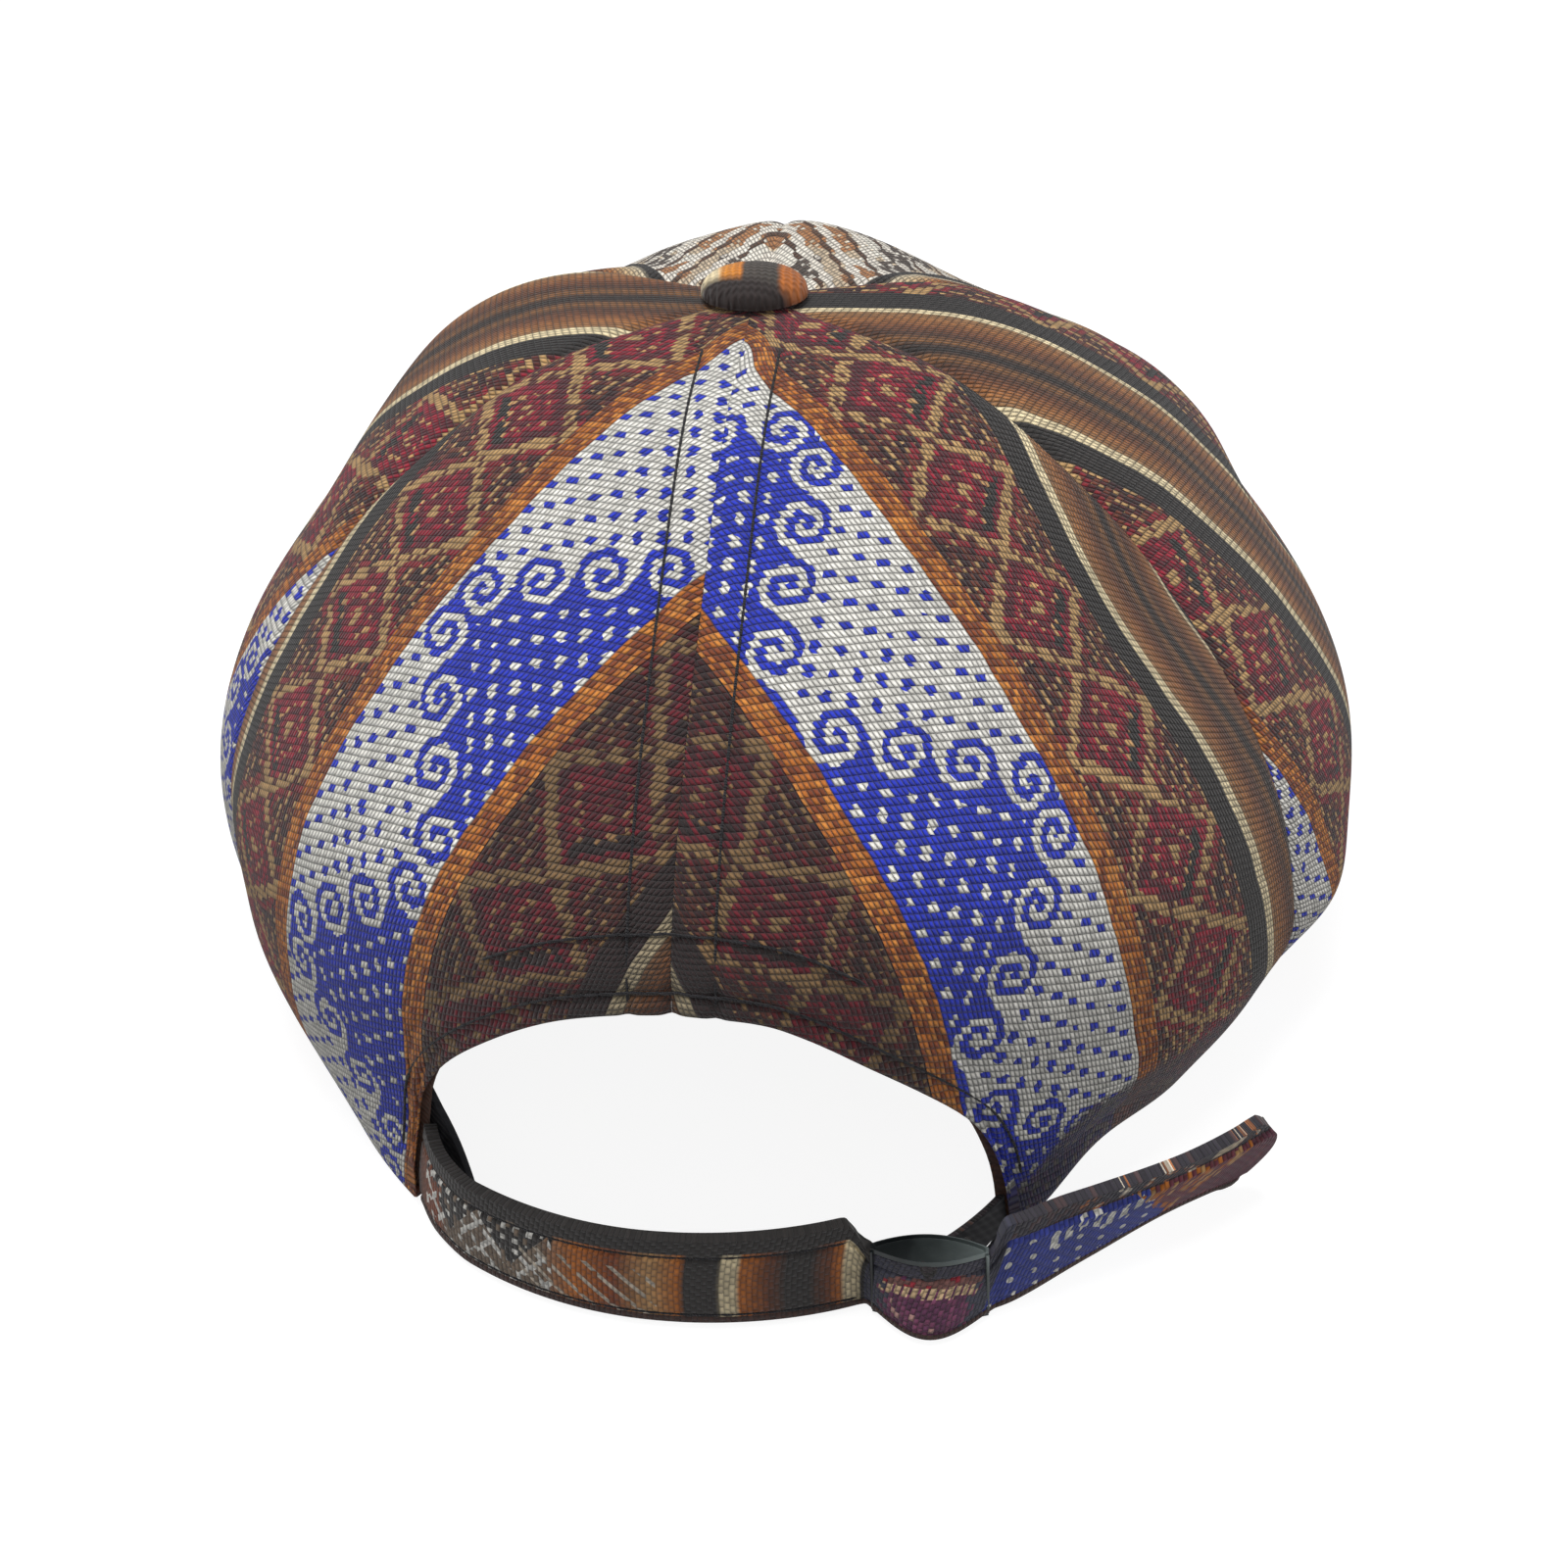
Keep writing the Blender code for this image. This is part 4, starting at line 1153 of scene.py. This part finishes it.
def makeTab():
    loop = slide["bar"] + 0.0003 + tab["thickness"]
    barOut = slide["hump"] - strap["thickness"] - 0.0006 - loop
    bottom = strap["bottom"] + (strap["height"] - tab["height"]) / 2
    radians = math.radians(arch["angle"])
    radial = np.array((math.sin(radians), -math.cos(radians), 0.0))

    def pathAt(level):
        # narrow where it leaves the rim, wider at the slide
        bar = slidePoint(0.5, barOut)
        bar[2] = bottom + tab["height"] * level * tab["atBar"]
        start = archCorner(1, bottom + tab["height"] * level * tab["atRim"]) - radial * crown["cloth"]
        bend = (start + bar) / 2 + radial * tab["bow"]
        toward = (bar - bend) / np.linalg.norm(bar - bend)
        outward = np.array((-toward[1], toward[0], 0.0))
        legEnd = bar - outward * loop
        path = []
        for share in np.linspace(0, 1, 31)[:-1]:
            low = start * (1 - share) + bend * share
            path.append(low * (1 - share) + (bend * (1 - share) + legEnd * share) * share)
        for share in np.linspace(0, 1, 25):
            turn = math.pi * share
            path.append(bar + (toward * math.sin(turn) - outward * math.cos(turn)) * loop)
        for share in np.linspace(0, 1, 9)[1:]:
            path.append(bar + outward * loop - toward * tab["return"] * share)
        return np.array(path)

    def place(along, up):
        points = np.empty((len(along), 3))
        lengths = np.empty(len(along))
        for level in np.unique(up):
            chosen = up == level
            path = pathAt(level)
            reach = reachAlong(path)
            where = along[chosen] * reach[-1]
            points[chosen] = pointsAt(where, reach, path)
            lengths[chosen] = where * 1000
        return points, (lengths, up * tab["height"] * 1000)

    dark, tree, surface = startMaterial("dark tab cloth", 0.88, sheen=0.1)
    at, _, _, body, dice, tone = clothGrains(tree, 1.4, 0.8, 0.4)
    patches = noiseAt(tree, at, 0.35, 3.0).over(0.52)
    colour = paint(thread["black"], screen(58, 48, 52), patches)
    colour = paint(colour, screen(84, 62, 56), dice.over(0.93))
    # random tone per grain, and painted shade between the grains
    colour = shadeBy(colour, (tone * 0.3 + 0.75) * (body * 0.4 + 0.6))
    finishLook(surface, colour, body, 0.00025)
    piece = gridSheet("strap_tab_cloth", 120, 16, place, [dark, blackCloth], tab["thickness"], bevel=0.0003)
    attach(piece, "root")
    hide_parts("strap_tab")


makeTab()
print("the tab is folded round the slide")

# slide

slideLook = {"half": 0.45, "bevel": 0.00010, "rim": 0.95, "dish": 0.0007, "post": 0.00030}
slideTop = strap["bottom"] + strap["height"] * (1 - strap["drawnIn"]) + 0.0003


def addPlate(metal, bottom, front, back):
    # a lens-shaped plate with a thin raised rim round a dished face
    start = bmesh.ops.create_circle(metal, cap_ends=True, segments=64, radius=1.0)
    for vertex in start["verts"]:
        share = 0.5 + slideLook["half"] * vertex.co.x
        bow = math.cos(math.pi / 2 * vertex.co.x)
        outward = front * bow if vertex.co.y < 0 else -back * bow ** 0.8
        place = slidePoint(share, outward + (0.0005 if vertex.co.y < 0 else -0.0004))
        vertex.co = (place[0], place[1], bottom)
    faces = list({face for vertex in start["verts"] for face in vertex.link_faces})
    middle = Vector(slidePoint(0.5, (front - back) / 2))
    for rise, shrink in ((slide["flange"], 1.0), (0.0, slideLook["rim"]), (-slideLook["dish"], 0.97)):
        raised = bmesh.ops.extrude_face_region(metal, geom=faces)["geom"]
        lifted = [item for item in raised if isinstance(item, bmesh.types.BMVert)]
        bmesh.ops.translate(metal, verts=lifted, vec=(0, 0, rise))
        about = Matrix.Translation((-middle.x, -middle.y, 0))
        bmesh.ops.scale(metal, verts=lifted, vec=(shrink, shrink, 1.0), space=about)
        old, faces = faces, [item for item in raised if isinstance(item, bmesh.types.BMFace)]
        if rise <= 0.0:
            bmesh.ops.delete(metal, geom=[face for face in old if face.is_valid], context="FACES_ONLY")


def addPost(metal, share, outward, radius, tall):
    place = slidePoint(share, outward)
    middle = Matrix.Translation((place[0], place[1], (tall + slide["flange"]) / 2))
    bmesh.ops.create_cone(metal, cap_ends=True, segments=20, radius1=radius, radius2=radius,
                          depth=tall - slide["flange"], matrix=middle)


def makeSlide():
    look, tree, surface = startMaterial("grey-green slide", 0.36, metallic=0.45)
    place = objectPlace(tree)
    x, _, z = splitWires(tree, place)
    cloudy = noiseAt(tree, place, 140.0, 3.0)
    # painted reflection and painted shade: the metal is dark at the left and middle and lighter grey to the
    # right, broken up by noise
    aside = (x - slidePoint(0.5, 0.0)[0]) * 90.0
    wearAndReflection = ((aside + 0.25) * 0.75 + cloudy * 0.5 - 0.25).most(0.0).least(1.0)
    colour = paint(screen(30, 35, 36), screen(112, 122, 120), wearAndReflection)
    # painted shade: everything below the top plate is darkened, most of all below 9 mm
    low = ((z - 0.009) * 260.0).most(0.0).least(1.0)
    colour = shadeBy(colour, low * 0.7 + 0.3)
    tree.links.new((cloudy * 0.25 + 0.26).source, surface.inputs["Roughness"])
    finishLook(surface, colour, noiseAt(tree, place, 900.0), 0.00004)
    metal = bmesh.new()
    addPlate(metal, slideTop, 0.0027, 0.0025)
    addPlate(metal, 0.00005, 0.0018, 0.0008)
    for share in (0.5 - slideLook["half"] + 0.01, 0.5 + slideLook["half"] - 0.01):
        addPost(metal, share, 0.0007, slideLook["post"], slideTop + 0.0004)
    addPost(metal, 0.5, 0.0010, slide["bar"], slideTop - 0.0002)
    bmesh.ops.recalc_face_normals(metal, faces=metal.faces)
    piece = meshObject("slide_metal", metal, [look])
    bevelEdges(piece, slideLook["bevel"], 40).harden_normals = True
    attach(piece, "root")
    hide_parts("buckle")


makeSlide()
print("the slide is bevelled")

# button

button = {"radius": 0.0090, "height": 0.0048, "depth": 0.76, "rings": 20, "turns": 72}


def makeButton():
    apex = crownPoint(0.0, 1.0)
    centre = Vector((apex[0], apex[1], crown["height"] + 0.0003))
    profile = bmesh.new()
    last = None
    for step in range(button["rings"] + 1):
        turn = math.radians(90) * step / button["rings"]
        point = (button["radius"] * math.sin(turn), 0.0, button["height"] * max(math.cos(turn), 0.0) ** 0.75)
        vertex = profile.verts.new(point)
        if last:
            profile.edges.new((last, vertex))
        last = vertex
    profile.edges.new((last, profile.verts.new((0.0, 0.0, 0.0))))
    bmesh.ops.spin(profile, geom=profile.verts[:] + profile.edges[:], angle=2 * math.pi, steps=button["turns"],
                   axis=(0, 0, 1), cent=(0, 0, 0), use_merge=True)
    bmesh.ops.remove_doubles(profile, verts=profile.verts, dist=0.00001)
    bmesh.ops.recalc_face_normals(profile, faces=profile.faces)
    bmesh.ops.scale(profile, verts=profile.verts, vec=(1.0, button["depth"], 1.0))
    bmesh.ops.translate(profile, verts=profile.verts, vec=centre)
    material, tree, surface = startMaterial("striped button cloth", 0.84, sheen=0.15)
    place = objectPlace(tree)
    x, y, _ = splitWires(tree, place)
    wobble = (noiseAt(tree, place, 400.0) - 0.5) * 0.9
    x = (x - centre.x) * 1000 + wobble
    y = (y - centre.y) * 1000
    shifted = x + y * 0.12
    colour = colourRamp((shifted + 9.0) / 18.0, (
        (0.0, thread["cream"]), (0.16, thread["cream"]), (0.22, screen(214, 138, 44)),
        (0.38, screen(206, 124, 34)), (0.42, screen(70, 62, 56)), (0.72, screen(62, 56, 50)),
        (0.77, screen(178, 100, 34)), (1.0, screen(150, 84, 34))))
    # painted shade: the button's side towards -y, away from the light, is darkened
    buttonShade = ((y + 2.3 + x * 0.18) * -0.5).most(0.0).least(1.0)
    colour = paint(colour, screen(40, 30, 28), buttonShade)
    rib = (shifted * 5.2).do("SINE") * 0.5 + 0.5
    grains = (y * 6.0 + rib * 2.0).do("SINE") * 0.5 + 0.5
    # painted shade in the hollows between the ribs and grains
    colour = shadeBy(colour, rib * 0.25 + grains * 0.15 + 0.72)
    finishLook(surface, colour, rib + grains * 0.6, 0.00022)
    piece = meshObject("button_cloth", profile, [material])
    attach(piece, "root")
    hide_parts("button")


makeButton()
print("the button is covered")

# peak


def makePeak():
    inset = 0.4 * crown["cloth"]
    corner = rimPoint(180 - peak["angle"], inset, 0.0)
    front = rimPoint(180.0, 0.0, 0.0)[1] + peak["reach"]

    def place(across, outward):
        sweep = across * 2 - 1
        angle = 180 - peak["angle"] * sweep
        radius = crownRadius(angle, 0.0) - inset
        rootX = radius * np.sin(np.radians(angle))
        rootY = crown["centre"] - radius * np.cos(np.radians(angle))
        turn = np.radians(90 * sweep)
        rounding = np.maximum(np.cos(turn), 0.0) ** 0.85
        halfWidth = corner[0] + (peak["halfWidth"] - corner[0]) * np.minimum(1.0, 4 * rounding)
        sideY = corner[1] + 0.003
        tipX = halfWidth * np.sin(turn)
        tipY = sideY + (front - sideY) * rounding
        x = rootX * (1 - outward) + tipX * outward
        y = rootY * (1 - outward) + tipY * outward
        z = peakTop(x, outward)
        # rows of stitching and the bound edge
        reach = np.hypot(tipX - rootX, tipY - rootY)
        fromEdge = (1 - outward) * reach
        row = (fromEdge - 0.006) % 0.0085
        sunk = ridge(row, 0.00425, 0.0007) * (fromEdge > 0.008) * (outward > 0.08)
        z = z - 0.00045 * sunk - 0.0004 * ridge(fromEdge, 0.005, 0.0006)
        return np.stack([x, y, z], axis=1), (y * 1000 + 20.0, x * 1000 + 30.0)

    cut = makeCut(0.0, 0.0, 0.0, 1.0, 90.0, 31.65, 50.0, 50.0)
    material = wovenCloth("woven cloth of the peak", cut)
    under = plainCloth("peak underside", screen(58, 36, 26))
    piece = gridSheet("peak_cloth", 150, 110, place, [material, under], peak["thickness"], bevel=0.0009)
    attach(piece, "root")
    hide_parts("peak")


makePeak()
print("the peak is bound and stitched")

# sweatband

band = {"height": 0.028, "thickness": 0.0012, "left": 22.5, "right": 29.5, "foot": 0.002}


def makeBand():
    def place(along, up):
        left = band["left"] + (up - 0.45) * 8.5
        right = band["right"] + up * 8.0
        angle = right + (360 - left - right) * along
        height = band["foot"] + (band["height"] - band["foot"]) * np.maximum(up * 1.08 - 0.08, 0.0)
        top = riseAtHeight(height)
        radius = np.full(len(along), 1.0)
        for share in (0.0, 0.25, 0.5, 0.75, 1.0):
            wall = crownPoint(angle, top * share, detail=False)
            radius = np.minimum(radius, np.hypot(wall[:, 0], wall[:, 1] - crown["centre"]))
        row = 0.0004 * ridge(up, 0.9, 0.02) + 0.0004 * ridge(up, 0.15, 0.02)
        radius = radius - 0.0025 - row
        radians = np.radians(angle)
        z = np.where(up <= 0.0, 0.0, height)
        points = np.stack([radius * np.sin(radians), crown["centre"] - radius * np.cos(radians), z], axis=1)
        return points, None

    cloths = [blackCloth, blackCloth]
    piece = gridSheet("sweatband_cloth", 300, 26, place, cloths, band["thickness"], bevel=0.0003)
    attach(piece, "root")
    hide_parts("sweatband")


makeBand()
print("the sweatband is inside")

# rows of stitches

stitch = {"length": 0.0032, "gap": -0.0009, "radius": 0.00027, "lift": 0.00010}


def stitchRow(name, points, outs):
    # short rounded threads, end to end along a line
    points, outs = np.asarray(points), np.asarray(outs)
    reach = reachAlong(points)
    step = stitch["length"] + stitch["gap"]
    threads = bmesh.new()
    for start in np.arange(0.0, reach[-1] - stitch["length"], step):
        ends = [pointsAt(start + more, reach, points) for more in (0.0, stitch["length"])]
        out = pointsAt(start, reach, outs)
        ahead = Vector(ends[1] - ends[0]).normalized()
        side = ahead.cross(Vector(out)).normalized()
        lift = side.cross(ahead)
        turn = Matrix((side, ahead, lift)).transposed().to_4x4()
        centre = Vector((ends[0] + ends[1]) / 2) + Vector(out) * stitch["lift"]
        grow = Matrix.Diagonal((stitch["radius"], stitch["length"] / 2, stitch["radius"], 1.0))
        bmesh.ops.create_uvsphere(threads, u_segments=6, v_segments=5, radius=1.0,
                                  matrix=Matrix.Translation(centre) @ turn @ grow)
    piece = meshObject(name, threads, [stitchThread])
    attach(piece, "root")


def outOf(angles, rises):
    # the crown's outward direction
    here = crownPoint(angles, rises, detail=False)
    aside = crownPoint(angles + 0.5, rises, detail=False) - here
    above = crownPoint(angles, np.minimum(rises + 0.004, 1.0), detail=False) - here
    out = np.cross(aside, above)
    return out / np.maximum(np.linalg.norm(out, axis=1, keepdims=True), 1e-9)


def besideBackSeam(side):
    rises = np.linspace(riseAtHeight(arch["height"]) + 0.004, 0.955, 160)
    radius = crownRadius(0.0, rises)
    angles = side * np.degrees(crown["stitchOffset"] / np.maximum(radius, 0.008))
    return crownPoint(angles, rises), outOf(angles, rises)


for side, name in ((-1, "back_stitches_left"), (1, "back_stitches_right")):
    stitchRow(name, *besideBackSeam(side))


def besideArch(offset, reach):
    shares = np.linspace(0.0, reach, 240)
    both = []
    for side in (-1, 1):
        angles, rises = archEdge(side, shares * archShare)
        edge = crownPoint(angles, rises, detail=False)
        along = unitRows(np.gradient(edge, axis=0))
        out = outOf(angles, rises)
        across = np.cross(along, out) * side
        upward = np.where(across[:, 2:] < 0, -1.0, 1.0)
        moved = edge + across * upward * offset
        turned = np.degrees(np.arctan2(moved[:, 0], crown["centre"] - moved[:, 1]))
        lifted = riseAtHeight(moved[:, 2])
        both.append((crownPoint(turned, lifted), outOf(turned, lifted)))
    left, right = both
    points = np.concatenate([left[0][::-1], right[0][1:]])
    outs = np.concatenate([left[1][::-1], right[1][1:]])
    return points, outs


for offset, reach, name in ((0.0032, 0.9, "arch_stitches_low"), (0.011, 0.36, "arch_stitches_high")):
    stitchRow(name, *besideArch(offset, reach))


def alongStrap(level, first, last):
    shares = np.linspace(first / strapTotal, last / strapTotal, 200)
    points, _ = strapFace(shares, np.full(200, level))
    ahead = unitRows(np.gradient(points, axis=0))
    return points, unitRows(np.stack([ahead[:, 1], -ahead[:, 0], np.zeros(200)], axis=1))


for level, name in ((strap["lowRow"], "strap_stitches_low"), (strap["highRow"], "strap_stitches_high")):
    stitchRow(name, *alongStrap(level, 2.0, humpStart - 1.0))
print("seams, arch and strap are stitched")

# tapes over the seams inside

tape = {"width": 0.010, "inward": 0.0030, "thickness": 0.0006, "from": 0.25, "to": 0.94}


def makeTape(name, seam):
    lowest = riseAtHeight(arch["height"]) + 0.02 if seam == 0.0 else tape["from"]

    def place(across, up):
        rise = lowest + (tape["to"] - lowest) * up
        half = np.degrees(tape["width"] / 2 / np.maximum(crownRadius(seam, rise), 0.012))
        angle = seam + (across * 2 - 1) * half
        points = crownPoint(angle, rise, detail=False)
        return points - outOf(angle, rise) * tape["inward"], None

    piece = gridSheet(name, 6, 60, place, [blackCloth, blackCloth], tape["thickness"])
    line = crownPoint(np.full(60, seam), np.linspace(lowest, tape["to"], 60), detail=False)
    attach(piece, "root")


for index, (seam, beside) in enumerate((
    (0.0, "panel_back_left_cloth"), (crown["sideSeam"], "panel_back_right_cloth"),
    (crown["frontSeam"], "panel_side_right_cloth"), (180.0, "panel_front_right_cloth"),
    (-crown["frontSeam"], "panel_front_left_cloth"), (-crown["sideSeam"], "panel_side_left_cloth"),
)):
    makeTape("seam_tape_" + str(index), seam)
print("the seams are taped inside")

for name, panel in panels.items():
    "blue_cloth" if "back" in name else "red_cloth" if "side" in name else "cream_cloth"
